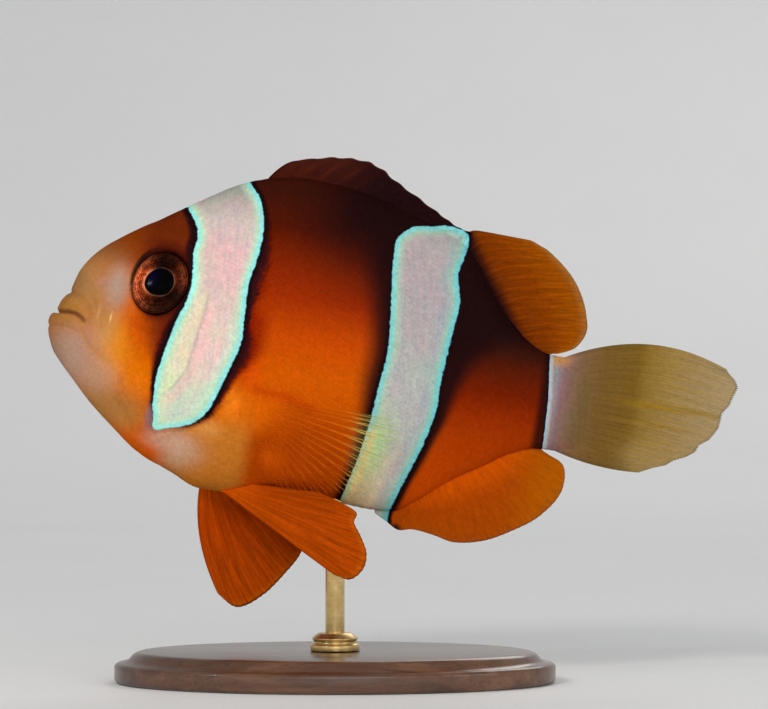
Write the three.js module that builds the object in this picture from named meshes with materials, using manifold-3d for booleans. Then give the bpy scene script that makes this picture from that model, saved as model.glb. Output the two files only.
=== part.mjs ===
// A still, life-size model of an anemonefish swimming head-up, held over a small display stand by one rod.
// Millimetres, +Z up. The fish faces -X, and its left side faces -Y. The origin is at the middle of the
// stand's underside.
import * as THREE from "three";
import { mergeVertices } from "three/addons/utils/BufferGeometryUtils.js";
import Module from "manifold-3d";

const wasm = await Module();
wasm.setup();

// ---------- driving dimensions ----------

const GAP = 0.3; // clearance between neighbouring pieces
const PITCH_DEG = 9.4; // the fish swims this far head-up
const SNOUT_AHEAD = 41.5; // the snout is this far ahead of the rod
const SNOUT_HEIGHT = 52.5; // and this far above the underside of the stand

const BODY_LENGTH = 79; // from the snout to the closed end inside the root of the tail fin
const TAIL_FIN_START = 77;
const TAIL_STEM_START = 66.5;
const BODY_RINGS = 40;
const BODY_SIDES = 26;
const RING_CROWDING = 1.6; // above 1, rings stand closer together at the snout
const SWAY = 7; // the tip of the tail swings this far to the fish's right,
const SWAY_START = 40; // from this distance behind the snout
const SWAY_SPAN = 60; // to this much further back

const EYE = { x: 15, z: 8.2, radius: 5, depth: 3.2, sunk: 1.7, tiltDeg: 16, yawDeg: 12 };
const GILL_CORE = 0.6; // the flesh under the gill covers, as a share of the head's width

const FIN_EDGE = 0.5; // thickness of every fin at its outer edge
const FIN_BURY = 1; // how far a fin's root runs on inside the body before it is cut off there
const FIN_PROBE = 0.01; // the step along a fin's surface that finds which way it faces
const BEYOND = 20; // further aside than any part of the fish's body

const BASE = { length: 64, width: 43, height: 4.5, step: 1.6, chamfer: 0.7, socket: 3 };
const ROD = { radius: 1.4, top: 33.5 }; // the rod ends inside the belly
const COLLAR = { radius: 3.6, height: 2.6, chamfer: 0.6 };

// Body outlines as [distance behind the snout, value]. Heights are measured from the snout's tip.
const BACK = [
  [0, -0.4], [0.3, 0.7], [1.3, 2.4], [2.4, 4.8], [3.3, 7.9], [5.6, 11.2], [8.2, 13.4], [13.5, 17.1],
  [18.8, 20.7], [24.1, 24], [28, 25.5], [34, 26.5], [39, 26.3], [44.5, 25.3], [50.6, 23.5], [56.1, 21.6],
  [58.5, 20.2], [61.2, 17.2], [64, 13.5], [66.7, 10.7], [69.3, 8.5], [72.5, 7.1], [79, 7],
];
const BELLY = [
  [0, -0.4], [0.2, -1.7], [0.6, -2.8], [1.3, -4.2], [2.4, -5.5], [4.9, -8], [7.8, -10.8], [11.2, -13.5],
  [16.2, -17], [21.1, -19], [25.5, -20.6], [29.3, -20.6], [37, -19.5], [43, -19.2], [50, -19.6],
  [53.5, -19.4], [57.3, -17], [61.2, -13.8], [65.9, -10.7], [69.3, -8.4], [73, -7], [79, -6.9],
];
const HALF_WIDTH = [
  [0, 0.3], [0.3, 1.7], [1.1, 2.7], [2.4, 3.6], [4.4, 4.5], [8, 5.6], [12, 6.4], [16, 7.1], [20, 8],
  [25, 9.1], [30, 9.6], [36, 9.4], [42, 8.8], [48, 7.9], [54, 6.6], [60, 5.1], [66, 3.8], [70, 3.1],
  [75, 2.4], [79, 1.6],
];
const WIDEST_HEIGHT = [[0, -0.4], [5, 0.8], [15, 1.5], [25, 1.8], [40, 1.2], [60, 1.6], [79, 0.1]];
const BACK_FULLNESS = [[0, 0.95], [12, 1], [30, 1.2], [55, 1.35], [79, 1.1]]; // above 1 is a narrow ridge
const BELLY_FULLNESS = [[0, 0.9], [12, 0.95], [30, 0.95], [50, 1.1], [79, 1.1]];

// Lines on the side of the head as [distance behind the snout, height].
const GILL_OPENING = [
  [25, 28], [27.2, 21], [28.8, 15.1], [29.4, 7.8], [29.9, 2], [29.8, -2.4], [28.4, -6.3], [25.9, -9.2],
  [22.7, -11.7], [18.7, -14.5], [13, -21],
];
const GILL_COVER_FRONT = [
  [31, 15], [27, 14.6], [24.4, 13.4], [23.2, 9.5], [22.4, 2], [21.3, -3.8], [19.5, -6.8], [17, -8.7],
  [14.8, -10.6], [16, -12.8], [20, -13.2], [26, -14],
];
const JAW_LINE = [[-3, 1.3], [1.1, 1.4], [3, 1.5], [5.5, 0.8], [6.8, -1.6], [7.8, -6], [8.2, -14]];

// Fin roots and tips in the same terms, from the first ray to the last.
const SPINY_DORSAL = {
  root: [[27.8], [35], [42], [49.5], [56.3]],
  tips: [[28.2, 26], [32.2, 28.8], [37.6, 30.2], [42.6, 30.1], [47, 27.9], [52.6, 25], [57.7, 22.4]],
};
const SOFT_DORSAL = {
  root: [[58.2], [61.5], [65], [68.5], [72]],
  tips: [
    [58.9, 22.6], [63.3, 23.1], [68.5, 22.4], [72.5, 20.1], [75.7, 16.8], [77.4, 12.8], [77, 9.5], [74, 7.5],
  ],
};
const ANAL_FIN = {
  root: [[52.8], [58], [63], [67.5], [72.5]],
  tips: [
    [53.3, -20.4], [55.8, -21.7], [59.6, -21.4], [63.2, -22.2], [67.2, -21.5], [71.4, -19.3], [75.2, -16.2],
    [77.7, -12], [77.1, -8.6], [74.6, -7.6],
  ],
};
const TAIL_FIN = {
  root: [[7], [-6.9]], // heights of its two corners
  arch: [2.9, -0.5], // how far its upper and lower edges bow upwards
  tips: [
    [99.2, 9.2], [100.7, 6.8], [100, 3.4], [98.8, 0.6], [97.6, -1.8], [95.2, -4.2], [92, -6.3], [88.5, -8],
  ],
};
// Paired fins give [distance behind the snout, distance from the middle, height].
const PECTORAL = {
  root: [[32.6, 8.2, -5.6], [33.7, 8, -8.6], [32.8, 7.4, -11.6]],
  tips: [
    [51.6, 11.3, -5.8], [52.8, 12.4, -8.2], [52, 12.9, -11.6], [49.3, 13, -15.2], [45.3, 12.7, -17.8],
    [39.5, 12.2, -18.6], [33.6, 11.5, -18],
  ],
};
const PELVIC_LEFT = {
  root: [[26.3, 3, -19.6], [28.3, 2.9, -19.6], [31, 2.8, -19.2]],
  tips: [
    [46, 7.6, -29], [48.9, 8.2, -29.4], [50.9, 8.4, -27], [50.9, 8.1, -24.6], [49.9, 7.3, -22.7],
    [48.4, 6, -21], [46.2, 4.8, -19.9],
  ],
  bow: 0,
};
const PELVIC_RIGHT = {
  root: [[25.4, 3, -19.8], [27.6, 2.9, -19.6], [29.8, 2.8, -19.4]],
  tips: [
    [30.4, 7.2, -35.6], [33.2, 8, -37.1], [36.6, 8.2, -35.2], [39.4, 7.8, -31.8], [41.2, 7, -28.4],
    [42, 6, -25.4],
  ],
  bow: -1.1, // its front spine bows forwards
};

// ---------- shared shaping ----------

const rad = THREE.MathUtils.degToRad;

// A smooth curve through [position, value] pairs that never overshoots them.
function through(pairs) {
  const slopes = pairs.slice(1).map(([x, value], i) => (value - pairs[i][1]) / (x - pairs[i][0]));
  const tangents = pairs.map((_, i) => {
    const before = slopes[i - 1] ?? slopes[i];
    const after = slopes[i] ?? before;
    return before * after > 0 ? (2 * before * after) / (before + after) : 0;
  });
  return (x) => {
    let i = 0;
    while (i < pairs.length - 2 && x > pairs[i + 1][0]) i++;
    const [[x0, v0], [x1, v1]] = [pairs[i], pairs[i + 1]];
    const t = THREE.MathUtils.clamp((x - x0) / (x1 - x0), 0, 1);
    const leaving = t * (1 - t) ** 2 * tangents[i];
    const arriving = t * t * (t - 1) * tangents[i + 1];
    return v0 + (v1 - v0) * t * t * (3 - 2 * t) + (x1 - x0) * (leaving + arriving);
  };
}

const back = through(BACK);
const belly = through(BELLY);
const halfWidth = through(HALF_WIDTH);
const widest = through(WIDEST_HEIGHT);
const backFullness = through(BACK_FULLNESS);
const bellyFullness = through(BELLY_FULLNESS);

function sway(x) {
  return SWAY * (Math.max(0, x - SWAY_START) / SWAY_SPAN) ** 2;
}

// How far the skin stands from the body's middle at one place on its side.
function skinAt(x, z) {
  const above = z > widest(x);
  const up = (z - widest(x)) / ((above ? back(x) : belly(x)) - widest(x));
  const fullness = above ? backFullness(x) : bellyFullness(x);
  return halfWidth(x) * Math.max(0, 1 - up * up) ** (fullness / 2);
}

// A closed geometry as a solid that can be joined and cut.
function solid(geometry) {
  const bare = geometry.clone();
  bare.deleteAttribute("normal");
  bare.deleteAttribute("uv");
  const merged = mergeVertices(bare, 1e-5);
  const triVerts = new Uint32Array(merged.index.array);
  const vertProperties = new Float32Array(merged.attributes.position.array);
  return new wasm.Manifold(new wasm.Mesh({ numProp: 3, vertProperties, triVerts }));
}

function geometryOf(shape) {
  const { vertProperties, triVerts } = shape.getMesh();
  const geometry = new THREE.BufferGeometry();
  geometry.setAttribute("position", new THREE.BufferAttribute(vertProperties, 3));
  geometry.setIndex(new THREE.BufferAttribute(triVerts, 1));
  geometry.computeVertexNormals();
  return geometry;
}

// Moves every vertex to where place(vertex) says, and turns the faces outwards if that turned them in.
function reshape(geometry, place) {
  const position = geometry.attributes.position;
  const vertex = new THREE.Vector3();
  for (let i = 0; i < position.count; i++) {
    const moved = place(vertex.fromBufferAttribute(position, i));
    position.setXYZ(i, moved.x, moved.y, moved.z);
  }
  const index = geometry.index;
  const corner = (i) => new THREE.Vector3().fromBufferAttribute(position, index.getX(i));
  let volume = 0;
  for (let i = 0; i < index.count; i += 3) {
    volume += corner(i).dot(corner(i + 1).cross(corner(i + 2)));
  }
  if (volume < 0) index.array.reverse();
  return geometry;
}

// ---------- the body, whole ----------

// The closed body, its skin moved outwards by grow and its width multiplied by share.
function bodySolid({ grow = 0, share = 1 } = {}) {
  const sphere = new THREE.SphereGeometry(1, BODY_SIDES, BODY_RINGS);
  return solid(reshape(sphere, ({ x, y, z }) => {
    const station = (Math.acos(THREE.MathUtils.clamp(y, -1, 1)) / Math.PI) ** RING_CROWDING;
    const distance = BODY_LENGTH * station;
    const round = Math.hypot(x, z);
    const atEnd = round < 1e-6;
    const up = atEnd ? 0 : z / round;
    const aside = atEnd ? 0 : x / round;
    const middle = widest(distance);
    const reach = up > 0 ? back(distance) - middle : middle - belly(distance);
    const fullness = up > 0 ? backFullness(distance) : bellyFullness(distance);
    const width = (halfWidth(distance) + grow) * share * Math.abs(aside) ** fullness;
    return new THREE.Vector3(
      distance + grow * (2 * station - 1),
      sway(distance) + Math.sign(aside) * width,
      middle + (reach + grow) * up,
    );
  }));
}

// A solid that fills an outline on the fish's side, from one side of the fish to the other.
function prism(outline, from = -BEYOND, to = BEYOND) {
  const shape = new THREE.Shape(outline.map(([x, z]) => new THREE.Vector2(x, z)));
  const geometry = new THREE.ExtrudeGeometry(shape, { depth: to - from, bevelEnabled: false });
  return solid(geometry.rotateX(Math.PI / 2).translate(0, to, 0));
}

function smoothLine(points, steps = 2) {
  const spline = new THREE.SplineCurve(points.map(([x, z]) => new THREE.Vector2(x, z)));
  return spline.getPoints((points.length - 1) * steps).map(({ x, y }) => [x, y]);
}

// A blade as thick as the gap between pieces, standing on a line on the fish's side.
function knife(line) {
  const edge = (side) => line.map(([x, z], i) => {
    const [before, after] = [line[Math.max(0, i - 1)], line[Math.min(line.length - 1, i + 1)]];
    const along = new THREE.Vector2(after[0] - before[0], after[1] - before[1]).normalize();
    return [x - (along.y * side * GAP) / 2, z + (along.x * side * GAP) / 2];
  });
  return prism([...edge(1), ...edge(-1).reverse()]);
}

// ---------- fins ----------

const vectors = (points) => points.map((point) => new THREE.Vector3(...point));

function smoothCurve(points) {
  return new THREE.CatmullRomCurve3(vectors(points), false, "centripetal");
}

// A fin is a thin curved slab between a curve through its root and one through its tips. bow gives how far
// each ray bends forwards, sideways and upwards, and notch cuts the edge back between the rays.
function finSolid({ root, tips, rays = 1, across, along, thickness, bow, notch = 0 }) {
  const rootCurve = smoothCurve(root);
  const tipCurve = smoothCurve(tips);
  const surface = (u, v) => {
    const cut = 1 - notch * (0.5 - 0.5 * Math.cos(2 * Math.PI * rays * u));
    const point = rootCurve.getPoint(u).lerp(tipCurve.getPoint(u), v * cut);
    return point.addScaledVector(new THREE.Vector3(...bow(u)), 4 * v * (1 - v));
  };
  const slab = new THREE.BoxGeometry(1, 1, 1, across, along, 1);
  return solid(reshape(slab, ({ x, y, z }) => {
    const [u, v] = [x + 0.5, y + 0.5];
    const [u0, v0] = [Math.min(u, 1 - FIN_PROBE), Math.min(v, 1 - FIN_PROBE)];
    const here = surface(u0, v0);
    const acrossIt = surface(u0 + FIN_PROBE, v0).sub(here);
    const alongIt = surface(u0, v0 + FIN_PROBE).sub(here);
    const normal = acrossIt.cross(alongIt).normalize();
    const thick = THREE.MathUtils.lerp(thickness, FIN_EDGE, Math.sqrt(v));
    return surface(u, v).addScaledVector(normal, z * thick);
  }));
}

const onMiddle = (points) => points.map(([x, z]) => [x, sway(x), z]);
const mirrored = (points, side) => points.map(([x, y, z]) => [x, y * side, z]);

function spinyDorsalFin(bodyWithGap) {
  const root = onMiddle(SPINY_DORSAL.root.map(([x]) => [x, back(x) - FIN_BURY]));
  const shape = { root, tips: onMiddle(SPINY_DORSAL.tips), thickness: 1.3, bow: () => [0, 0, 0] };
  return finSolid({ ...shape, rays: 11, notch: 0.14, across: 22, along: 2 }).subtract(bodyWithGap);
}

function softDorsalFin(bodyWithGap) {
  const root = onMiddle(SOFT_DORSAL.root.map(([x]) => [x, back(x) - FIN_BURY]));
  const shape = { root, tips: onMiddle(SOFT_DORSAL.tips), thickness: 1.4, bow: () => [0, 0.5, 0] };
  return finSolid({ ...shape, across: 20, along: 3 }).subtract(bodyWithGap);
}

function analFin(bodyWithGap) {
  const root = onMiddle(ANAL_FIN.root.map(([x]) => [x, belly(x) + FIN_BURY]));
  const shape = { root, tips: onMiddle(ANAL_FIN.tips), thickness: 1.4, bow: () => [0, 0.4, 0] };
  return finSolid({ ...shape, across: 20, along: 3 }).subtract(bodyWithGap);
}

function tailFin() {
  const root = onMiddle(TAIL_FIN.root.map(([z]) => [TAIL_FIN_START, z]));
  const bow = (u) => [0, 0.6, THREE.MathUtils.lerp(...TAIL_FIN.arch, u)];
  const shape = { root, tips: onMiddle(TAIL_FIN.tips), thickness: 3.4, bow };
  const start = TAIL_FIN_START + GAP;
  const ahead = prism([[0, -20], [start, -20], [start, 30], [0, 30]]);
  return finSolid({ ...shape, across: 19, along: 5 }).subtract(ahead);
}

function pectoralFin(side, bodyWithGap) {
  const shape = { root: mirrored(PECTORAL.root, side), tips: mirrored(PECTORAL.tips, side), thickness: 2.2 };
  const bow = () => [0, 1.2 * side, 0];
  return finSolid({ ...shape, bow, across: 15, along: 4 }).subtract(bodyWithGap);
}

function pelvicFin(side, bodyWithGap) {
  const fin = side < 0 ? PELVIC_LEFT : PELVIC_RIGHT;
  const shape = { root: mirrored(fin.root, side), tips: mirrored(fin.tips, side), thickness: 1.8 };
  const bow = (u) => [fin.bow * (1 - u), 0.8 * side, 0];
  return finSolid({ ...shape, bow, across: 12, along: 5 }).subtract(bodyWithGap);
}

// ---------- eyes ----------

// An eyeball flattened front to back, facing out of the head, a little upwards and a little forwards.
function eyeSolid(side, grow = 0) {
  const { x, z, radius, depth, sunk, tiltDeg, yawDeg } = EYE;
  const ball = new THREE.SphereGeometry(1, 17, 9);
  ball.scale(radius + grow, depth + grow, radius + grow);
  ball.rotateX(rad(tiltDeg) * side);
  ball.rotateZ(rad(yawDeg) * side);
  ball.translate(x, (skinAt(x, z) - sunk) * side, z);
  return solid(ball);
}

// ---------- the body, parted ----------

// Parts the head, jaw, gill covers, trunk and tail stem with thin cuts, and hollows the eye sockets.
function bodyPieces(pocket) {
  const gillOpening = smoothLine(GILL_OPENING);
  const jawLine = smoothLine(JAW_LINE);
  const coverFront = smoothLine(GILL_COVER_FRONT);
  const ahead = prism([...gillOpening, [-5, -30], [-5, 40]]);
  const jaw = prism([...jawLine, [-5, -20], [-5, 0]]);
  const cover = prism([...coverFront, [36, -12], [36, 14]]);
  const tail = prism([[TAIL_STEM_START, -20], [120, -20], [120, 30], [TAIL_STEM_START, 30]]);
  const beyond = prism([[TAIL_FIN_START, -20], [120, -20], [120, 30], [TAIL_FIN_START, 30]]);

  const body = bodySolid().subtract(beyond);
  const trunkCut = knife([[TAIL_STEM_START, -20], [TAIL_STEM_START, 30]]);
  const trunkAndTail = body.subtract(ahead).subtract(knife(gillOpening)).subtract(trunkCut);
  const front = body.intersect(ahead).subtract(knife(gillOpening));

  const core = bodySolid({ share: GILL_CORE });
  const coreWithGap = bodySolid({ share: GILL_CORE, grow: GAP / GILL_CORE });
  const covers = front.intersect(cover).subtract(coreWithGap).subtract(knife(coverFront));
  const coverRoom = cover.add(knife(coverFront)).subtract(core);
  const headAndJaw = front.subtract(coverRoom);
  const headBox = [[0, -25], [40, -25], [40, 35], [0, 35]];
  const sockets = eyeSolid(-1, GAP).add(eyeSolid(1, GAP));
  return {
    head: headAndJaw.subtract(jaw).subtract(knife(jawLine)).subtract(sockets),
    lower_jaw: headAndJaw.intersect(jaw).subtract(knife(jawLine)),
    gill_cover_left: covers.intersect(prism(headBox, -BEYOND, 0)),
    gill_cover_right: covers.intersect(prism(headBox, 0, BEYOND)),
    trunk: trunkAndTail.subtract(tail).subtract(pocket),
    tail_stem: trunkAndTail.intersect(tail),
  };
}

// ---------- the stand ----------

function turned(profile, sides) {
  const outline = profile.map(([radius, height]) => new THREE.Vector2(radius, height));
  return new THREE.LatheGeometry(outline, sides).rotateX(Math.PI / 2);
}

function cylinder(radius, from, to, sides = 16) {
  const bar = new THREE.CylinderGeometry(radius, radius, to - from, sides);
  return bar.rotateX(Math.PI / 2).translate(0, 0, (from + to) / 2);
}

// An oval plate with a chamfered foot and a stepped, chamfered top, bored for the rod.
function standBase() {
  const { length, width, height, step, chamfer, socket } = BASE;
  const edge = width / 2;
  const plate = turned([
    [0, 0], [edge - chamfer, 0], [edge, chamfer], [edge, height - step - chamfer],
    [edge - chamfer, height - step], [edge - 2 * chamfer, height - step], [edge - 3 * chamfer, height],
    [0, height],
  ], 28);
  plate.scale(length / width, 1, 1);
  const bore = cylinder(ROD.radius + GAP / 2, height - socket, height + 1);
  return solid(plate).subtract(solid(bore));
}

function standCollar() {
  const { radius, height, chamfer } = COLLAR;
  const bore = ROD.radius + GAP / 2;
  const ring = turned([
    [bore, 0], [radius, 0], [radius, height - chamfer], [radius - chamfer, height], [bore, height], [bore, 0],
  ], 20);
  return solid(ring.translate(0, 0, BASE.height));
}

const standRod = () => solid(cylinder(ROD.radius, BASE.height - BASE.socket, ROD.top));

// ---------- assembly ----------

const FINISH = {
  flesh: { color: 0xc8641e, roughness: 0.45, metalness: 0 },
  fin: { color: 0xe08a28, roughness: 0.5, metalness: 0 },
  darkFin: { color: 0x2e1a12, roughness: 0.5, metalness: 0 },
  eye: { color: 0x7a2f12, roughness: 0.1, metalness: 0 },
  wood: { color: 0x3a2115, roughness: 0.4, metalness: 0 },
  brass: { color: 0xb08d4a, roughness: 0.3, metalness: 1 },
};

function piece(name, shape, finish) {
  const mesh = new THREE.Mesh(geometryOf(shape), new THREE.MeshStandardMaterial(FINISH[finish]));
  mesh.name = name;
  return mesh;
}

// The fish's own frame: the snout at its origin, the body along +X, level. It is pitched head-up here.
const fish = new THREE.Group();
fish.rotation.y = rad(PITCH_DEG);
fish.position.set(-SNOUT_AHEAD, 0, SNOUT_HEIGHT);
fish.updateMatrix();

const toFish = fish.matrix.clone().invert();
const pocket = solid(cylinder(ROD.radius + GAP, 10, ROD.top + GAP).applyMatrix4(toFish));
const bodyWithGap = bodySolid({ grow: GAP });

for (const [name, shape] of Object.entries(bodyPieces(pocket))) {
  fish.add(piece(name, shape, "flesh"));
}
fish.add(piece("eye_left", eyeSolid(-1), "eye"));
fish.add(piece("eye_right", eyeSolid(1), "eye"));
fish.add(piece("dorsal_fin_spiny", spinyDorsalFin(bodyWithGap), "darkFin"));
fish.add(piece("dorsal_fin_soft", softDorsalFin(bodyWithGap), "fin"));
fish.add(piece("anal_fin", analFin(bodyWithGap), "fin"));
fish.add(piece("caudal_fin", tailFin(), "fin"));
fish.add(piece("pectoral_fin_left", pectoralFin(-1, bodyWithGap), "fin"));
fish.add(piece("pectoral_fin_right", pectoralFin(1, bodyWithGap), "fin"));
fish.add(piece("pelvic_fin_left", pelvicFin(-1, bodyWithGap), "fin"));
fish.add(piece("pelvic_fin_right", pelvicFin(1, bodyWithGap), "fin"));

const model = new THREE.Group();
model.add(fish);
model.add(piece("stand_base", standBase(), "wood"));
model.add(piece("stand_collar", standCollar(), "brass"));
model.add(piece("stand_rod", standRod(), "brass"));

export default model;
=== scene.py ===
# A still, life-size anemonefish swimming head-up, held over a small oval display stand by one brass rod.
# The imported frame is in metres; the fish itself is laid out in millimetres from the tip of its snout.
import math

import bmesh
import bpy
import numpy as np
from mathutils import Matrix, Vector


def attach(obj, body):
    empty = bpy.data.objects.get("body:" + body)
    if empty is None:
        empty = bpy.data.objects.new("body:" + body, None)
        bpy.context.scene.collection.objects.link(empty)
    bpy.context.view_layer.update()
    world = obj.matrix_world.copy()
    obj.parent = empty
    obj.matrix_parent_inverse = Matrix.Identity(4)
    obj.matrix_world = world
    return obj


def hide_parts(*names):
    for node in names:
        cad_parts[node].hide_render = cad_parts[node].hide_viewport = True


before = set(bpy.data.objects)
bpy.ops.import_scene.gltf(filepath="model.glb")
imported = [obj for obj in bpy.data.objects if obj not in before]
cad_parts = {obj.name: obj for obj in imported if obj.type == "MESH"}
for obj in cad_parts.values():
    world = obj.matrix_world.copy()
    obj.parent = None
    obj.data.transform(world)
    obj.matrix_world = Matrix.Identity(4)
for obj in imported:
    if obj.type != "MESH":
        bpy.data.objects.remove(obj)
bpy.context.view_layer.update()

# ---- body -------------------------------------------------------------------------------------------
# One skin from the lips to the root of the tail fin, painted and lacquered over a cast body.
# The mouth is closed, the eyes sit in hollows, and the gill covers end in a low step behind the head.

PITCH = math.radians(9.4)
SNOUT_PLACE = np.array([-0.0415, 0.0, 0.0525])
SKIN_LENGTH = 81.5
SKIN_RINGS = 300
SKIN_SIDES = 256
RING_CROWDING = 1.6
COAT_DEPTH = 0.13
PAINT_DEPTH = 0.02
SWAY = 7.0
SWAY_START = 40.0
SWAY_SPAN = 60.0

# Outlines as [distance behind the snout, height or width].
BACK = [
    [0, -0.4], [0.3, 0.7], [1.3, 2.4], [2.4, 4.8], [3.3, 7.9], [5.6, 11.2], [8.2, 13.4], [13.5, 17.1],
    [18.8, 20.7], [24.1, 24], [28, 25.5], [34, 26.5], [39, 26.3], [44.5, 25.3], [50.6, 23.5], [56.1, 21.6],
    [58.5, 20.2], [61.2, 17.2], [64, 13.5], [66.7, 10.7], [69.3, 8.5], [72.5, 7.1], [78, 6.9], [81.5, 5.2],
]
BELLY = [
    [0, -0.4], [0.2, -1.7], [0.6, -2.8], [1.3, -4.2], [2.4, -5.5], [4.9, -8], [7.8, -10.8], [11.2, -13.5],
    [16.2, -17], [21.1, -19], [25.5, -20.6], [29.3, -20.6], [37, -19.5], [43, -19.2], [50, -19.6],
    [53.5, -19.4], [57.3, -17], [61.2, -13.8], [65.9, -10.7], [69.3, -8.4], [73, -7], [78, -6.8],
    [81.5, -5.4],
]
HALF_WIDTH = [
    [0, 0.3], [0.3, 1.7], [1.1, 2.7], [2.4, 3.6], [4.4, 4.5], [8, 5.6], [12, 6.4], [16, 7.1], [20, 8],
    [25, 9.1], [30, 9.6], [36, 9.4], [42, 8.8], [48, 7.9], [54, 6.6], [60, 5.1], [66, 3.8], [70, 3.1],
    [75, 2.4], [78, 1.7], [81.5, 0.4],
]
WIDEST_HEIGHT = [[0, -0.4], [5, 0.8], [15, 1.5], [25, 1.8], [40, 1.2], [60, 1.6], [79, 0.1]]
BACK_FULLNESS = [[0, 0.95], [12, 1], [30, 1.2], [55, 1.35], [79, 1.1]]
BELLY_FULLNESS = [[0, 0.9], [12, 0.95], [30, 0.95], [50, 1.1], [79, 1.1]]

# Folds on the side of the head as [distance behind the snout, height].
MOUTH_CLEFT = [[-2, 1.4], [1.4, 1.55], [2.6, 1.66], [4, 1.58], [4.9, 1.14], [5.4, 0.72]]
LIP_GROOVE = [[1, 4.9], [2.3, 4.6], [4, 4.2], [5.3, 3.2], [6, 1.9], [6.1, 0.4]]
CHEEK_FOLD = [[5.2, 5], [6.1, 4], [6.8, 2.6], [7.4, 1.4], [7.9, 0.3]]
JAW_FOLD = [[5.3, 0.5], [5.2, -0.6], [5.85, -1.7], [6.9, -2.9], [8.3, -3.7], [10, -4.4]]
CHIN_FOLD = [[-2, -0.55], [0.6, -0.7], [2.6, -0.6], [4.6, -0.9]]
PREOPERCLE = [[23.3, 12], [22.9, 8.9], [22.3, 3], [21.3, -3.8], [19.5, -6.8], [17, -8.7], [13, -10]]
GILL_OPENING = [
    [28.9, 14], [29.4, 7.8], [29.9, 2], [29.8, -2.4], [28.4, -6.3], [25.9, -9.2], [22.7, -11.7],
    [18.7, -14.5], [13, -18],
]
BREAST_FIN_FOLD = [[31.7, -4.9], [36.3, -5.3], [39.9, -6.5]]
NOSTRIL = (7.3, 6.65)

# Where the scales begin, as [height, distance behind the snout].
SCALE_LINE = [
    [-22, 19], [-16, 18], [-13, 13], [-9, 10.6], [0, 10.8], [5, 11.2], [12, 11], [16, 12.4], [30, 13],
]

# An eye's hollow: where it is, how far its middle sits in the flesh, and which way it faces.
EYE_PLACE = (15.75, 7.58)
EYE_RIM_PLACE = (15.2, 8.1)
EYE_SUNK = 1.7
EYE_TILT = math.radians(16)
EYE_YAW = math.radians(17)
EYE_TALL = 1.14
ORBIT = 4.35
ORBIT_RIM = 1.62
ORBIT_FLOOR = -0.8


def through(pairs):
    """A smooth curve through [position, value] pairs that never overshoots them."""
    places, values = np.array(pairs, float).T
    slopes = np.diff(values) / np.diff(places)
    before = np.concatenate([slopes[:1], slopes])
    after = np.concatenate([slopes, slopes[-1:]])
    turning = before * after <= 0
    tangents = np.where(turning, 0, 2 * before * after / np.where(turning, 1, before + after))

    def curve(x):
        i = np.clip(np.searchsorted(places, x) - 1, 0, len(places) - 2)
        span = places[i + 1] - places[i]
        t = np.clip((x - places[i]) / span, 0, 1)
        ends = t * (1 - t) ** 2 * tangents[i] + t * t * (t - 1) * tangents[i + 1]
        return values[i] + (values[i + 1] - values[i]) * t * t * (3 - 2 * t) + span * ends

    return curve


back = through(BACK)
belly = through(BELLY)
half_width = through(HALF_WIDTH)
widest = through(WIDEST_HEIGHT)
back_fullness = through(BACK_FULLNESS)
belly_fullness = through(BELLY_FULLNESS)
scale_line = through(SCALE_LINE)


def smooth(start, end, value):
    t = np.clip((value - start) / (end - start), 0, 1)
    return t * t * (3 - 2 * t)


def hill(distance, width):
    return np.exp(-((distance / width) ** 2))


def mound(x, z, middle_x, middle_z, reach_x, reach_z, flatness=1):
    """A rounded rise on the fish's side, 1 at its middle."""
    return hill(np.hypot((x - middle_x) / reach_x, (z - middle_z) / reach_z) ** flatness, 1)


def sway(x):
    return SWAY * (np.maximum(0, x - SWAY_START) / SWAY_SPAN) ** 2


def body_point(x, angle):
    """A place on the bare body; the angle turns from the right side over the back to the left side."""
    x = np.clip(x, 0, SKIN_LENGTH)
    up = np.sin(angle)
    aside = np.cos(angle)
    middle = widest(x)
    reach = np.where(up > 0, back(x) - middle, middle - belly(x))
    fullness = np.where(up > 0, back_fullness(x), belly_fullness(x))
    width = half_width(x) * np.abs(aside) ** fullness
    return np.stack([x, sway(x) + np.sign(aside) * width, middle + reach * up], axis=-1)


def facing(surface, x, angle):
    """Unit normals of a surface given by distance and angle, by small steps on it."""
    step_x = 0.03
    step_angle = 0.004
    along = surface(x + step_x, angle) - surface(x - step_x, angle)
    around = surface(x, angle + step_angle) - surface(x, angle - step_angle)
    normal = np.cross(around, along)
    return normal / np.maximum(np.linalg.norm(normal, axis=-1, keepdims=True), 1e-12)


def distance_to(line, x, z):
    """Distance from places on the fish's side to a line drawn there, and which side of it they are on."""
    nearest = np.full(np.shape(x), 1e9)
    side = np.ones(np.shape(x))
    for (x0, z0), (x1, z1) in zip(line[:-1], line[1:]):
        run, rise = x1 - x0, z1 - z0
        t = np.clip(((x - x0) * run + (z - z0) * rise) / (run * run + rise * rise), 0, 1)
        away = np.hypot(x - x0 - t * run, z - z0 - t * rise)
        closer = away < nearest
        side = np.where(closer, np.sign(run * (z - z0) - rise * (x - x0)), side)
        nearest = np.where(closer, away, nearest)
    return nearest, side


def scaled_part(x, z):
    """1 where the skin carries scales, 0 on the bare snout, lips, chin and throat."""
    round_eye = np.hypot(x - EYE_RIM_PLACE[0], (z - EYE_RIM_PLACE[1]) / 1.08)
    return smooth(-1, 1.4, x - scale_line(z)) * smooth(4.9, 5.6, round_eye)


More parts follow.
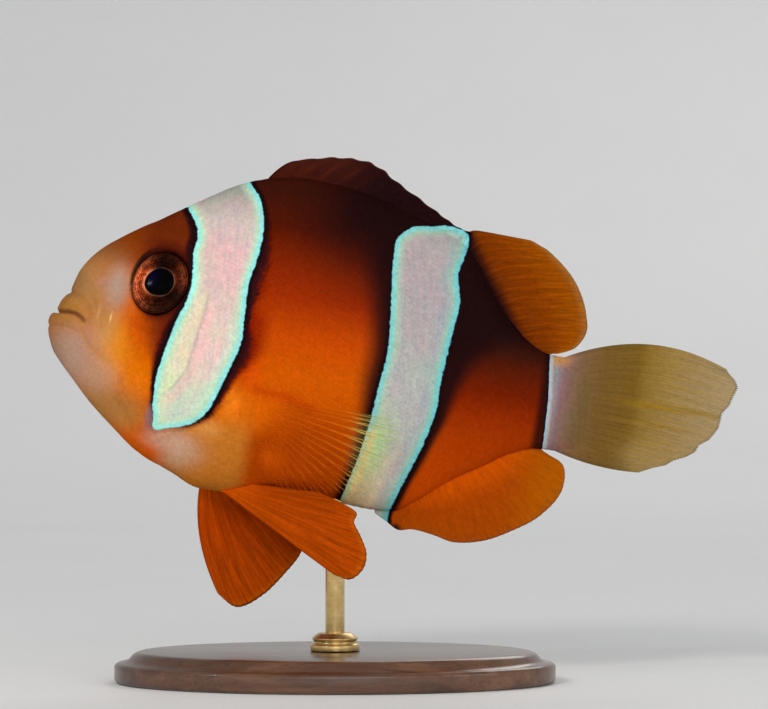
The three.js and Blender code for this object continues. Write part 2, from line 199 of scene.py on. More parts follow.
def relief(x, z):
    """How far the folds of the head and the fin bases stand out from the bare body, in millimetres."""
    height = np.zeros(np.shape(x))
    cleft, above = distance_to(MOUTH_CLEFT, x, z)
    lips = smooth(6.2, 4.2, x)
    up = cleft * above
    height += lips * (0.3 * hill(up - 1.5, 1.0) + 0.2 * hill(up + 1.05, 0.85))
    height -= smooth(5.75, 4.9, x) * 0.85 * hill(cleft, 0.22)
    for fold, deep, wide, kept in (
        (LIP_GROOVE, 0.34, 0.34, smooth(0.2, 1.6, z) * smooth(6.6, 5.4, x)), (CHEEK_FOLD, 0.16, 0.3, 1),
        (JAW_FOLD, 0.16, 0.3, smooth(10, 7.5, x)), (CHIN_FOLD, 0.14, 0.3, 1),
    ):
        height -= deep * hill(distance_to(fold, x, z)[0], wide) * kept
    height += 0.24 * mound(x, z, 9.25, 1.7, 0.3, 1.1)
    height += 0.14 * mound(x, z, 7.3, 2.2, 0.3, 1.2)
    height += 0.1 * mound(x, z, 11, -0.6, 0.35, 1.4)

    along = ((x - NOSTRIL[0]) + (z - NOSTRIL[1])) / math.sqrt(2)
    across = ((x - NOSTRIL[0]) - (z - NOSTRIL[1])) / math.sqrt(2)
    height += 0.1 * hill(np.hypot(along / 1.3, across / 0.8), 1)
    height -= 0.3 * hill(np.hypot(along / 0.62, across / 0.28), 1)

    ridge, behind = distance_to(PREOPERCLE, x, z)
    height += 0.1 * np.where(behind > 0, hill(ridge, 0.5), hill(ridge, 1.6)) * smooth(13, 8, z)
    opening, behind = distance_to(GILL_OPENING, x, z)
    past = opening * behind
    cover_edge = 0.22 * hill(np.minimum(past, 0), 2.6) * smooth(0.35, -0.15, past)
    groove = -0.16 * hill(np.maximum(past, 0), 1.3) * smooth(-0.15, 0.35, past)
    height += (cover_edge + groove) * smooth(15, 9, z) * (0.08 + 0.92 * smooth(-17, -10, z))

    height += 0.75 * mound(x, z, 33, -8.6, 2.3, 3.9, 1.6)
    height += 0.1 * mound(x, z, 17, 14.5, 5, 1.5)
    return height


def eye_pose(side):
    """The middle of an eye, the way that it faces, and its own upward way; the left side is -1."""
    x, z = EYE_PLACE
    lift = (z - widest(x)) / (back(x) - widest(x))
    skin_y = half_width(x) * (1 - lift * lift) ** (back_fullness(x) / 2)
    turn = Matrix.Rotation(EYE_YAW * side, 3, "Z") @ Matrix.Rotation(EYE_TILT * side, 3, "X")
    out = np.array(turn @ Vector((0, side, 0)))
    up = np.array([0, 0, 1]) - out[2] * out
    return np.array([x, (skin_y - EYE_SUNK) * side, z]), out, up / np.linalg.norm(up)


def skin_point(x, angle):
    """A place on the finished skin."""
    base = body_point(x, angle)
    side_x = base[..., 0]
    side_z = base[..., 2]
    rise = relief(side_x, side_z) - COAT_DEPTH * scaled_part(side_x, side_z) - PAINT_DEPTH
    place = base + facing(body_point, x, angle) * rise[..., None]
    for side in (-1, 1):
        middle, out, up = eye_pose(side)
        from_eye = place - middle
        height = from_eye @ out
        flat = from_eye - height[..., None] * out
        flat = flat - (flat @ up * (1 - 1 / EYE_TALL))[..., None] * up
        radius = np.linalg.norm(flat, axis=-1)
        this_side = height > -1.5
        level = height + (ORBIT_RIM - height) * 0.85 * smooth(6.8, 4.9, radius)
        level += (ORBIT_FLOOR - level) * smooth(ORBIT + 0.12, ORBIT - 0.5, radius)
        place = place + np.where(this_side, level - height, 0)[..., None] * out
    return place


FISH_TO_FRAME = Matrix.Translation(SNOUT_PLACE) @ Matrix.Rotation(PITCH, 4, "Y") @ Matrix.Scale(0.001, 4)


def in_frame(points):
    """From the fish's own millimetres to the frame's metres, pitched head-up."""
    turn = np.array(FISH_TO_FRAME)[:3, :3]
    return points @ turn.T + SNOUT_PLACE


def vertex_places(mesh):
    places = np.empty(len(mesh.vertices) * 3)
    mesh.vertices.foreach_get("co", places)
    return places.reshape(-1, 3)


def note(mesh, name, values):
    """Writes a value or a colour for each vertex."""
    values = np.asarray(values, float)
    if values.ndim == 1:
        mesh.attributes.new(name, "FLOAT", "POINT").data.foreach_set("value", values)
    else:
        opaque = np.ones((len(values), 1))
        colours = np.hstack([values, opaque]).ravel()
        mesh.attributes.new(name, "FLOAT_COLOR", "POINT").data.foreach_set("color", colours)


def poured(name, form):
    """A new mesh from a finished bmesh, which is let go."""
    mesh = bpy.data.meshes.new(name)
    form.to_mesh(mesh)
    form.free()
    return mesh


def corner_vertices(mesh):
    numbers = np.empty(len(mesh.loops), int)
    mesh.loops.foreach_get("vertex_index", numbers)
    return numbers


def lay_uv(mesh, name, u, v):
    """A UV map from one place for each corner of the mesh."""
    mesh.uv_layers.new(name=name).data.foreach_set("uv", np.stack([u, v], axis=-1).ravel())


def make_piece(name, mesh, material, slot, *nodes):
    """Links a finished mesh as a piece of the still body."""
    piece = bpy.data.objects.new(name, mesh)
    bpy.context.scene.collection.objects.link(piece)
    mesh.materials.append(material)
    mesh.polygons.foreach_set("use_smooth", [True] * len(mesh.polygons))
    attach(piece, "root")
    if nodes:
        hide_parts(*nodes)


form = bmesh.new()
bmesh.ops.create_uvsphere(form, u_segments=SKIN_SIDES, v_segments=SKIN_RINGS, radius=1)
skin_mesh = poured("skin", form)
unit = vertex_places(skin_mesh)
turned = np.arccos(np.clip(-unit[:, 2], -1, 1)) / math.pi
skin_x = SKIN_LENGTH * turned**RING_CROWDING
skin_angle = np.arctan2(unit[:, 1], unit[:, 0])
skin_places = skin_point(skin_x, skin_angle)
at_pole = np.hypot(unit[:, 0], unit[:, 1]) < 1e-6
poles = np.where(unit[at_pole, 2] < 0, -0.15, SKIN_LENGTH)
skin_places[at_pole] = np.stack([poles, sway(poles), widest(np.clip(poles, 0, 79))], axis=-1)
skin_mesh.vertices.foreach_set("co", in_frame(skin_places).ravel())
skin_mesh.update()

# The unwrap: along the body one way and round it the other, with its seam under the belly.
corner_vertex = corner_vertices(skin_mesh)
face_start = np.empty(len(skin_mesh.polygons), int)
skin_mesh.polygons.foreach_get("loop_start", face_start)
face_size = np.empty(len(skin_mesh.polygons), int)
skin_mesh.polygons.foreach_get("loop_total", face_size)
UNWRAP_ROOM = 1.01
around = (skin_angle / math.tau + 0.25) % 1
corner_around = around[corner_vertex]
face_of_corner = np.repeat(np.arange(len(face_size)), face_size)
highest = np.maximum.reduceat(corner_around, face_start)[face_of_corner]
corner_around = np.where(highest - corner_around > 0.5, corner_around + 1, corner_around)
lay_uv(skin_mesh, "unwrap", turned[corner_vertex], corner_around / UNWRAP_ROOM)

# ---- markings ---------------------------------------------------------------------------------------
# Airbrushed colours under the lacquer: amber and rust flanks that darken to soot on the back, and three
# pearl bars with a turquoise rim and a black outline. Skin, scales and fins all take them from here.

# How far in from a bar's edge its fringes may still tint the ground, and the greatest depth noted.
UNDER_HEAD_BAR = 3
UNDER_REAR_BARS = 4
BAR_LIMIT = 9
AMBER = (0.7, 0.22, 0.008)
ORANGE = (0.58, 0.09, 0.001)
FLAME = (0.5, 0.058, 0.001)
RUST = (0.3, 0.023, 0.001)
RED_BROWN = (0.18, 0.014, 0.001)
MAROON = (0.075, 0.007, 0.002)
SOOT = (0.013, 0.0035, 0.0035)
TAN = (0.38, 0.18, 0.062)
OCHRE = (0.4, 0.17, 0.025)
STRAW = (0.35, 0.22, 0.06)
CREAM_PINK = (0.74, 0.52, 0.48)
SHELL_GREY = (0.42, 0.38, 0.35)
MOON_GREY = (0.4, 0.37, 0.365)
# The middle bar's pearl low on the belly, lightened as painted light where the underside turns from the
# light.
OYSTER_WITH_PAINTED_LIGHT = (0.85, 0.72, 0.48)

# Edges of the bars as [height, distance behind the snout], from low to high.
HEAD_BAR_FRONT = [
    [-13, 17.8], [-11, 17.5], [-9, 17.1], [-5, 17.1], [-1, 17.8], [2.3, 18.5], [6.2, 19.7], [9.5, 19.9],
    [12.9, 19.4], [15.2, 19.6], [17.2, 18.9], [19.5, 17.2], [24, 14], [31, 11],
]
HEAD_BAR_REAR = [
    [-12.6, 19.6], [-11.8, 22.1], [-10.6, 24.1], [-8.4, 25.6], [-4.5, 26.8], [1, 28.4], [5, 28.3],
    [9.6, 28.1], [13.5, 28.7], [17.4, 28.9], [20.5, 28.3], [22.6, 27.3], [24.5, 25.6], [31, 21],
]
MID_BAR_FRONT = [
    [-26, 44.6], [-19.1, 45.9], [-12.7, 47.4], [-7, 48.3], [-1, 48.8], [3, 49.2], [6.6, 49], [11, 48.5],
    [15.3, 48], [18.2, 47.8], [20.2, 48.1],
]
MID_BAR_TOP = [[50, 21.9], [52.6, 22.5], [55.6, 23]]
MID_BAR_REAR = [
    [-26, 54.6], [-20.5, 53.2], [-16, 54.2], [-9.8, 56.2], [-4, 57.5], [0.4, 57.5], [7.4, 58], [12, 58.4],
    [16, 57.5], [19.2, 58.1], [22, 58.1],
]
TAIL_BAR_FRONT = [[-12, 74.1], [-6.6, 73.7], [0.4, 73.3], [5.4, 72.7], [12, 72.3]]
TAIL_BAR_START = 73.2
BAR_BREADTH = 9
MID_TO_TAIL = (62, 66)
TAIL_BAR_SHARPNESS = 2.4


def flipped(line):
    return [(x, z) for z, x in line]


head_bar = flipped(HEAD_BAR_FRONT) + flipped(HEAD_BAR_REAR)[::-1]
mid_bar = flipped(MID_BAR_FRONT) + MID_BAR_TOP + flipped(MID_BAR_REAR)[::-1]
head_bar_front = through(HEAD_BAR_FRONT)
head_bar_rear = through(HEAD_BAR_REAR)
mid_bar_front = through(MID_BAR_FRONT)
mid_bar_rear = through(MID_BAR_REAR)


def rounded(points, steps=4):
    """A closed loop with its corners rounded, as a list of points."""
    ring = np.array(points, float)
    before, after, beyond = np.roll(ring, 1, 0), np.roll(ring, -1, 0), np.roll(ring, -2, 0)
    t = np.arange(steps)[:, None, None] / steps
    bend = (2 * before - 5 * ring + 4 * after - beyond) * t**2
    bend = bend + (3 * ring - before - 3 * after + beyond) * t**3
    dense = 0.5 * (2 * ring + (after - before) * t + bend)
    return dense.transpose(1, 0, 2).reshape(-1, 2)


def depth_inside(loop, x, z):
    """Distance in from a closed loop's edge; places outside it are below zero."""
    within = np.zeros(np.shape(x), bool)
    for (x0, z0), (x1, z1) in zip(loop, np.roll(loop, -1, 0)):
        if z0 != z1:
            crossing = x0 + (z - z0) * (x1 - x0) / (z1 - z0)
            within ^= ((z0 > z) != (z1 > z)) & (x < crossing)
    away = distance_to(np.vstack([loop, loop[:1]]), x, z)[0]
    return np.where(within, away, -away)


head_loop = rounded(head_bar)
mid_loop = rounded(mid_bar)


def bar_depth(x, z):
    """How far inside the nearest pearl bar a place is, in millimetres; the third bar has no rear edge."""
    tail_away, behind = distance_to(flipped(TAIL_BAR_FRONT), x, z)
    depth = np.maximum(depth_inside(head_loop, x, z), depth_inside(mid_loop, x, z))
    return np.clip(np.maximum(depth, -TAIL_BAR_SHARPNESS * tail_away * behind), -BAR_LIMIT, BAR_LIMIT)


def washed(ground, colour, amount):
    return ground + (np.array(colour) - ground) * np.clip(amount, 0, 1)[..., None]


def spot(x, z, middle_x, middle_z, reach_x, reach_z):
    square = ((x - middle_x) / reach_x) ** 2 + ((z - middle_z) / reach_z) ** 2
    return np.exp(-(square**1.5))


def patched(ground, x, z, patches):
    """Washes (colour, strength, (middle x, middle z, reach x, reach z)) patches over a ground in turn."""
    for colour, strength, place in patches:
        ground = washed(ground, colour, strength * spot(x, z, *place))
    return ground


def blended(stops, value):
    """A colour for each value, from [value, colour] stops."""
    places = [stop for stop, _ in stops]
    return np.stack([np.interp(value, places, [colour[i] for _, colour in stops]) for i in range(3)], axis=-1)


def under_edge(past):
    """A soft fade of the fringes below the first bar's own edge, from the distance past it."""
    return smooth(-2.6, -0.8, past)


FLANK_PATCHES = [
    ((0.92, 0.24, 0.014), 0.6, (28, -7.2, 1.6, 2)), ((0.7, 0.055, 0.002), 0.5, (30.3, -2, 1.8, 3)),
    ((0.7, 0.3, 0.075), 0.6, (25.6, -11.6, 2, 1.3)),
]
LID = [[10.8, (0.07, 0.035, 0.01)], [12.2, (0.02, 0.007, 0.003)], [17, (0.01, 0.004, 0.004)]]
HEAD_PATCHES = [
    (AMBER, 0.95, (10.3, -3, 3, 5.2)), ((0.8, 0.19, 0.002), 0.7, (14.2, -6.5, 3, 3.5)),
    ((0.5, 0.2, 0.03), 0.6, (13.6, -11.6, 3, 2.2)), ((0.62, 0.085, 0.001), 0.8, (13.6, 1.6, 1.9, 3.4)),
    ((0.6, 0.34, 0.23), 0.8, (19.8, -14.2, 3.2, 1.6)), ((0.54, 0.27, 0.07), 0.7, (8.4, 0.4, 2, 3.4)),
    (TAN, 0.95, (4.5, 6, 6.2, 6.2)), ((0.37, 0.175, 0.05), 0.9, (9, -10.8, 6, 3.8)),
    ((0.39, 0.265, 0.2), 0.85, (9.4, 6.4, 1.8, 3.2)), ((0.4, 0.25, 0.175), 0.97, (3.6, -4.4, 5, 5.2)),
    ((0.45, 0.28, 0.18), 0.6, (8.6, -6.6, 3, 2.6)), (OCHRE, 0.85, (1.8, 2, 4.2, 2.7)),
]


def ground_colour(x, z):
    """The colour between the bars."""
    # The highest stop is lighter than soot: painted light on the top of the back, where it turns away from
    # the light.
    flank = [
        [-18, (0.47, 0.06, 0.001)], [-13, (0.43, 0.055, 0.001)], [-8, ORANGE], [-2, ORANGE], [3.5, FLAME],
        [9, RUST], [14.5, RED_BROWN], [19, MAROON], [24, (0.045, 0.007, 0.003)],
    ]
    # The lowest stop is partly the belly's own orange and partly painted light against the shade under the
    # rear of the belly.
    rear = [
        [-16, (0.6, 0.07, 0.001)], [-12, (0.48, 0.053, 0.001)], [-6, (0.34, 0.034, 0.001)],
        [-3, (0.26, 0.022, 0.001)], [0, (0.16, 0.012, 0.001)], [3, (0.1, 0.01, 0.002)],
        [6, (0.04, 0.007, 0.003)], [9, SOOT],
    ]
    colour = blended(flank, z)
    toward_mid = smooth(33, 47, x)
    colour = washed(colour, MAROON, 0.7 * toward_mid * smooth(4, 17, z))
    colour = washed(colour, SOOT, smooth(30, 43, x) * smooth(11, 22, z))
    tail = smooth(50, 60, x)
    colour = colour * (1 - tail[..., None]) + blended(rear, z) * tail[..., None]

    colour = washed(colour, (0.72, 0.15, 0.003), 0.85 * spot(x, z, 28, -8.8, 5, 3.6))
    breast = smooth(33, 30, x) * smooth(-8, -12.5, z)
    colour = washed(colour, (0.54, 0.18, 0.02), 0.9 * breast)
    colour = washed(colour, (0.55, 0.35, 0.23), 0.9 * spot(x, z, 20.2, -15.4, 4.8, 2.8))
    colour = washed(colour, (0.45, 0.035, 0.001), 0.6 * hill(distance_to(BREAST_FIN_FOLD, x, z)[0], 0.7))
    colour = patched(colour, x, z, FLANK_PATCHES)

    head = smooth(22, 17.5, x)
    colour = washed(colour, ORANGE, head * smooth(13, 7, z))
    colour = washed(colour, (0.15, 0.021, 0.003), head * smooth(8, 13.5, z))
    colour = washed(colour, (0.23, 0.037, 0.001), smooth(13.5, 9.5, x) * smooth(8, 12, z))
    colour = patched(colour, x, z, HEAD_PATCHES)
    cleft = distance_to(MOUTH_CLEFT, x, z)[0]
    # Painted shade: the tip of the snout and the lips darkened where they turn from the light, most on the
    # snout's front above the lip.
    colour = washed(colour, (0.2, 0.1, 0.035), 0.42 * smooth(4.4, 0.8, x))
    colour = washed(colour, (0.24, 0.12, 0.045), 0.5 * spot(x, z, 3.3, 5.9, 1.7, 2.2))
    # Painted shade in the mouth's cleft, deepening toward its corner.
    colour = washed(colour, (0.16, 0.05, 0.03), (0.45 + 0.45 * smooth(1.5, 4, x)) * hill(cleft, 0.2))
    colour = washed(colour, (0.42, 0.2, 0.03), 0.4 * hill(distance_to(JAW_FOLD, x, z)[0], 0.35))
    # Painted highlights: a glint on the fold of the upper jaw, and a pale streak along the fold ahead of it.
    colour = washed(colour, (0.95, 0.66, 0.25), 0.8 * mound(x, z, 9.2, 1.8, 0.14, 0.6))
    colour = washed(colour, (0.62, 0.38, 0.15), 0.5 * mound(x, z, 7.3, 2.4, 0.22, 1))
    colour = washed(colour, (0.45, 0.2, 0.15), 0.6 * spot(x, z, NOSTRIL[0], NOSTRIL[1], 1, 0.8))

    ahead = head_bar_front(z) - x
    reach = through([[-13, 0.8], [-8, 0.9], [-4, 1.5], [-1.7, 3.4], [0.3, 5.2], [2, 6], [5, 7.6]])(z)
    patch = smooth(1, 0.15, ahead / reach) * under_edge(ahead) * smooth(14, 5, z) * smooth(-12, -9, z)
    colour = washed(colour, (0.13, 0.01, 0.004), 0.92 * patch)
    by_eye = smooth(1.6, 1, ahead) * (ahead > -UNDER_HEAD_BAR) * smooth(2, 6, z)
    colour = washed(colour, (0.02, 0.004, 0.007), 0.9 * by_eye)
    colour = washed(colour, (0.22, 0.15, 0.165), 0.85 * spot(x, z, 17.1, -11.3, 0.75, 2))
    orbit = np.hypot(x - EYE_RIM_PLACE[0] - 0.4, (z - EYE_RIM_PLACE[1] - 0.05) / 1.12)
    lid = blended(LID, x)
    colour = colour + (lid - colour) * smooth(4.75, 4.4, orbit)[..., None]
    colour = washed(colour, MAROON, 0.75 * smooth(6, 4.6, orbit) * smooth(11.5, 15, x))

    past_head = x - head_bar_rear(z)
    reach = through([[-10, 1], [-7, 1.6], [-4, 2.2], [-1.5, 3.6], [1, 4.6], [9, 4.6]])(z)
    halo = smooth(1, 0.4, past_head / reach) * (past_head > -UNDER_HEAD_BAR)
    halo = halo * smooth(-10, -7, z) * smooth(9, 4, z)
    colour = washed(colour, (0.22, 0.008, 0.001), 0.85 * halo)
    before_mid = mid_bar_front(z) - x
    reach = through([[-22, 1.6], [-8, 2.4], [0, 4.2], [8, 4.6], [16, 6.4]])(z)
    sooty = smooth(1, 0.15, before_mid / reach) * (before_mid > -UNDER_REAR_BARS)
    colour = washed(colour, SOOT, 0.95 * sooty)
    past_mid = x - mid_bar_rear(z)
    reach = through([[-20, 1.4], [-8, 2], [-2, 3.4], [4, 6.5], [9, 13], [14, 20]])(z)
    sooty = smooth(1, 0.35, past_mid / reach) * (past_mid > -UNDER_REAR_BARS)
    colour = washed(colour, SOOT, 0.97 * sooty)
    before_tail = TAIL_BAR_START - x
    sooty = smooth(1.9, 0.5, before_tail) * (before_tail > -UNDER_REAR_BARS)
    colour = washed(colour, SOOT, 0.9 * sooty)
    return colour


def smudge(x, z):
    """How near a place is to the sooty fringes before and behind the first bar, from 1 at the bar to 0."""
    past = x - head_bar_rear(z)
    reach = through([
        [-13, 2.2], [-10, 2.4], [-8, 2.2], [-4, 2.6], [-1, 3.4], [1.5, 3.2], [4, 1.9], [6.5, 2.1], [9, 3.6],
        [13, 3.4], [17, 2], [21, 1.2],
    ])
    behind = smooth(1.1, 0, past / reach(z)) * under_edge(past) * (past < 6) * smooth(-14, -11, z)
    behind = behind * (1 - 0.15 * smooth(-5, -9, z))
    ahead = head_bar_front(z) - x
    reach = through([
        [-12, 0.4], [-8, 0.5], [-6, 0.9], [-4, 1.4], [-2, 2], [1.5, 1.9], [4, 1.4], [8, 1.5], [16, 1.3],
    ])
    before = smooth(1.15, 0.1, ahead / reach(z)) * under_edge(ahead) * smooth(-12, -9, z)
    return np.maximum(behind, before)


def strand(x, z):
    """Coordinates that run out from the first bar like fine hairs."""
    behind = x > (head_bar_front(z) + head_bar_rear(z)) / 2
    turn = np.arctan2(z + 1, x - 14)
    out = np.hypot(z + 1, x - 14)
    first = np.where(behind, turn * 14, x * 0.8)
    return np.stack([first, np.where(behind, out * 0.22, z * 0.55), 0 * x], axis=-1)


def outline_part(x, z):
    """1 where the bars have a black outline; it dies away round the lower end of the first one."""
    return 1 - 0.8 * smooth(0, -1.5, z + 7 + 2.6 * smooth(18, 24, x)) * smooth(36, 32, x)


def pearl_colour(x, z):
    """The colour inside the bars; behind the third one it fades into the tail fin's own."""
    # The middle and third bars are painted greyer than the first: partly their own tone, partly painted shade
    # on the rear of the body, which faces away from the light.
    head = blended([
        [-12, (0.5, 0.68, 0.57)], [-9, (0.6, 0.7, 0.55)], [-4, (0.8, 0.61, 0.54)], [2, (0.75, 0.58, 0.5)],
        [8, (0.74, 0.51, 0.49)], [14, (0.73, 0.5, 0.48)], [18, (0.64, 0.51, 0.49)], [23, SHELL_GREY],
    ], z)
    # The middle bar lightens toward the belly, painted light against the underside's shade, and darkens again
    # below it on the anal fin as painted shade matching the shaded belly.
    middle = blended([
        [-21, (0.38, 0.36, 0.27)], [-19.8, (0.44, 0.4, 0.29)], [-19, OYSTER_WITH_PAINTED_LIGHT], [-14, (0.58, 0.49, 0.38)],
        [-9, (0.49, 0.46, 0.42)], [-2, (0.47, 0.44, 0.44)], [4, (0.43, 0.41, 0.4)], [12, MOON_GREY],
        [22, (0.43, 0.38, 0.37)],
    ], z)
    past_head = x - head_bar_front(z)
    crease, behind = distance_to(PREOPERCLE, x, z)
    low = smooth(9, 6, z)
    # Along the gill cover's front edge: a painted pale highlight ahead of the crease, a pink tint behind it,
    # and painted shade in the crease itself.
    head = washed(head, (0.8, 0.78, 0.46), 0.6 * hill(crease - 0.8, 0.6) * (behind < 0) * low)
    head = washed(head, (0.86, 0.52, 0.5), 0.7 * hill(crease - 0.9, 0.7) * (behind > 0) * low)
    head = washed(head, (0.42, 0.33, 0.28), 0.6 * hill(crease, 0.16) * low)
    head = washed(head, (0.72, 0.8, 0.5), 0.7 * smooth(3.4, 1.2, past_head) * smooth(5.5, 2, z))
    head = washed(head, (0.56, 0.76, 0.6), 0.7 * smooth(2.8, 1.4, head_bar_rear(z) - x) * smooth(8, 2, z))
    # Painted colour cast and shade of the breast fin's clear film on the middle bar: yellow-green across it,
    # duller and browner low down.
    middle = patched(middle, x, z, [
        ((0.47, 0.7, 0.32), 0.85, (48.4, -10.5, 3.2, 6)), ((0.55, 0.45, 0.2), 0.7, (47.2, -17, 3.6, 3.4)),
    ])
    middle = washed(middle, (0.33, 0.4, 0.43), 0.6 * smooth(3.6, 1.6, mid_bar_rear(z) - x))
    tail = blended([
        [74, (0.27, 0.25, 0.27)], [75, (0.24, 0.14, 0.14)], [76.3, (0.22, 0.12, 0.08)],
        [78, (0.18, 0.1, 0.04)], [81, (0.16, 0.085, 0.02)], [85.6, (0.17, 0.092, 0.014)],
        [87.2, (0.24, 0.138, 0.026)], [91, (0.32, 0.2, 0.05)], [99, (0.38, 0.26, 0.11)],
    ], x)
    tail = washed(tail, (0.6, 0.24, 0.05), 0.8 * spot(x, z, 74, 6.6, 1.7, 1.2))
    toward_mid = smooth(36, 40, x)[..., None]
    toward_tail = smooth(*MID_TO_TAIL, x)[..., None]
    return (head * (1 - toward_mid) + middle * toward_mid) * (1 - toward_tail) + tail * toward_tail


def rim_tone(x, z):
    """How the bars' turquoise rim dims from the front edge of the head's bar to the edges farther back."""
    head = blended([[0, (0.97, 1.1, 1.06)], [1, (0.83, 1, 1.04)]], (x - head_bar_front(z)) / BAR_BREADTH)
    middle = blended([[0, (0.64, 0.8, 0.84)], [1, (0.48, 0.72, 0.82)]], (x - mid_bar_front(z)) / BAR_BREADTH)
    middle = washed(middle, (1.35, 0.82, 0.5), smooth(-6.5, -9, z) * smooth(5, 3.5, x - mid_bar_front(z)))
    # Painted shade: the rim darker below the belly, on the anal fin, to match the shaded belly.
    middle = middle * (1 - 0.35 * smooth(-19.3, -20.2, z))[..., None]
    toward_mid = smooth(34, 40, x)[..., None]
    toward_tail = smooth(*MID_TO_TAIL, x)[..., None]
    rear = middle * (1 - toward_tail) + np.array([0.85, 0.62, 0.8]) * toward_tail
    return head * (1 - toward_mid) + rear * toward_mid


def paint(mesh, x, z, ground=None, depth=None):
    """Notes all that the markings need on a mesh; ground and depth can be a piece's own."""
    note(mesh, "ground", ground_colour(x, z) if ground is None else ground)
    note(mesh, "pearl", pearl_colour(x, z))
    note(mesh, "bar", bar_depth(x, z) if depth is None else depth)
    note(mesh, "smudge", smudge(x, z))
    note(mesh, "strand", strand(x, z))
    note(mesh, "edge", outline_part(x, z))
    note(mesh, "rim", rim_tone(x, z))


def fill(tree, node, sockets):
    """Links or fills a node's sockets."""
    for socket, value in sockets.items():
        if isinstance(value, bpy.types.NodeSocket):
            tree.links.new(value, node.inputs[socket])
        else:
            node.inputs[socket].default_value = value


def shader_node(tree, kind, sockets=None, **settings):
    """Adds a node, sets it up, and fills its sockets."""
    node = tree.nodes.new(kind)
    for setting, value in settings.items():
        setattr(node, setting, value)
    fill(tree, node, sockets or {})
    return node


def shader_math(tree, operation, first, second=0.0, third=0.0):
    sockets = {0: first, 1: second}
    if operation == "MULTIPLY_ADD":
        sockets[2] = third
    return shader_node(tree, "ShaderNodeMath", sockets, operation=operation).outputs[0]


def shader_step(tree, value, start, end, low=0.0, high=1.0):
    sockets = {"Value": value, "From Min": start, "From Max": end, "To Min": low, "To Max": high}
    return shader_node(tree, "ShaderNodeMapRange", sockets, interpolation_type="SMOOTHSTEP").outputs["Result"]


def shader_mix(tree, amount, first, second, blend="MIX"):
    sockets = {0: amount, 6: first, 7: second}
    return shader_node(tree, "ShaderNodeMix", sockets, data_type="RGBA", blend_type=blend).outputs[2]


def shader_noise(tree, vector, scale, detail=2.0, roughness=0.5):
    sockets = {"Vector": vector, "Scale": scale, "Detail": detail, "Roughness": roughness}
    return shader_node(tree, "ShaderNodeTexNoise", sockets).outputs["Fac"]


def shader_place(tree):
    """A place on the piece, in metres, for noise that sits still on it."""
    return shader_node(tree, "ShaderNodeTexCoord").outputs["Object"]


def shader_stretched(tree, place, scale):
    return shader_node(tree, "ShaderNodeMapping", {"Vector": place, "Scale": scale}).outputs[0]


def shader_scaled(tree, colour, strength):
    sockets = {0: colour, "Scale": strength}
    return shader_node(tree, "ShaderNodeVectorMath", sockets, operation="SCALE").outputs[0]


def shader_bump(tree, height, strength, depth):
    sockets = {"Strength": strength, "Distance": depth, "Height": height}
    return shader_node(tree, "ShaderNodeBump", sockets).outputs["Normal"]


def solid(colour):
    return (*colour, 1)


def shader_ramp(tree, value, stops):
    """Colours along a value, through (place, colour) stops."""
    ramp = shader_node(tree, "ShaderNodeValToRGB", {"Fac": value})
    elements = ramp.color_ramp.elements
    first, *between, last = stops
    for element, (place, colour) in ((elements[0], first), (elements[1], last)):
        element.position = place
        element.color = solid(colour)
    for place, colour in between:
        elements.new(place).color = solid(colour)
    return ramp.outputs["Color"]


def shader_attribute(tree, name, output):
    return shader_node(tree, "ShaderNodeAttribute", attribute_name=name).outputs[output]


def shader_group(name, inputs, outputs):
    """A new node group with its own sockets, and its input and output nodes."""
    group = bpy.data.node_groups.new(name, "ShaderNodeTree")
    for socket, kind, value in inputs:
        made = group.interface.new_socket(socket, in_out="INPUT", socket_type="NodeSocket" + kind)
        made.default_value = value
    for socket, kind in outputs:
        group.interface.new_socket(socket, in_out="OUTPUT", socket_type="NodeSocket" + kind)
    return group, group.nodes.new("NodeGroupInput").outputs, group.nodes.new("NodeGroupOutput")


markings, given, result = shader_group(
    "bars and ground",
    [
        ("Ground", "Color", solid(ORANGE)), ("Pearl", "Color", solid(CREAM_PINK)),
        ("Rim", "Color", (1, 1, 1, 1)), ("Bar", "Float", 0.0), ("Smudge", "Float", 0.0),
        ("Strand", "Vector", (0, 0, 0)), ("Edge", "Float", 1.0), ("Tone", "Float", 0.5),
    ],
    [("Color", "Color")],
)
spread = shader_place(markings)
ragged = shader_noise(markings, spread, 1500, 4, 0.65)
depth = shader_math(markings, "MULTIPLY_ADD", ragged, 0.6, given["Bar"])
depth = shader_math(markings, "SUBTRACT", depth, 0.3)
inside = shader_step(markings, depth, -0.05, 0.07)
outline = shader_math(markings, "MULTIPLY", shader_step(markings, depth, -0.8, -0.3), given["Edge"])
hair = shader_noise(markings, given["Strand"], 3.3, 4, 0.7)
soot = shader_math(markings, "MULTIPLY_ADD", hair, 0.9, given["Smudge"])
soot = shader_step(markings, soot, 0.62, 1.3, 0.0, 0.95)
stained = shader_mix(markings, 1.0, given["Ground"], (0.36, 0.11, 0.3, 1), "MULTIPLY")
dense = shader_step(markings, soot, 0.4, 0.93)
soot_colour = shader_mix(markings, dense, stained, (0.022, 0.004, 0.006, 1))
shaded = shader_mix(markings, soot, given["Ground"], soot_colour)
shaded = shader_mix(markings, outline, shaded, solid(SOOT))
rim = shader_ramp(markings, shader_math(markings, "MULTIPLY", depth, 0.25), [
    (0, (0.2, 0.52, 0.54)), (0.04, (0.34, 0.74, 0.72)), (0.13, (0.4, 0.74, 0.62)), (0.24, (0.6, 0.7, 0.48)),
    (0.5, (0.76, 0.72, 0.52)),
])
opal = shader_step(markings, shader_noise(markings, spread, 150, 2), 0.36, 0.64)
tint = shader_mix(markings, opal, (1.09, 0.94, 0.97, 1), (0.93, 1.05, 0.93, 1))
frost_at = shader_stretched(markings, spread, (1, 0.4, 0.16))
frost = shader_noise(markings, frost_at, 1900, 3, 0.6)
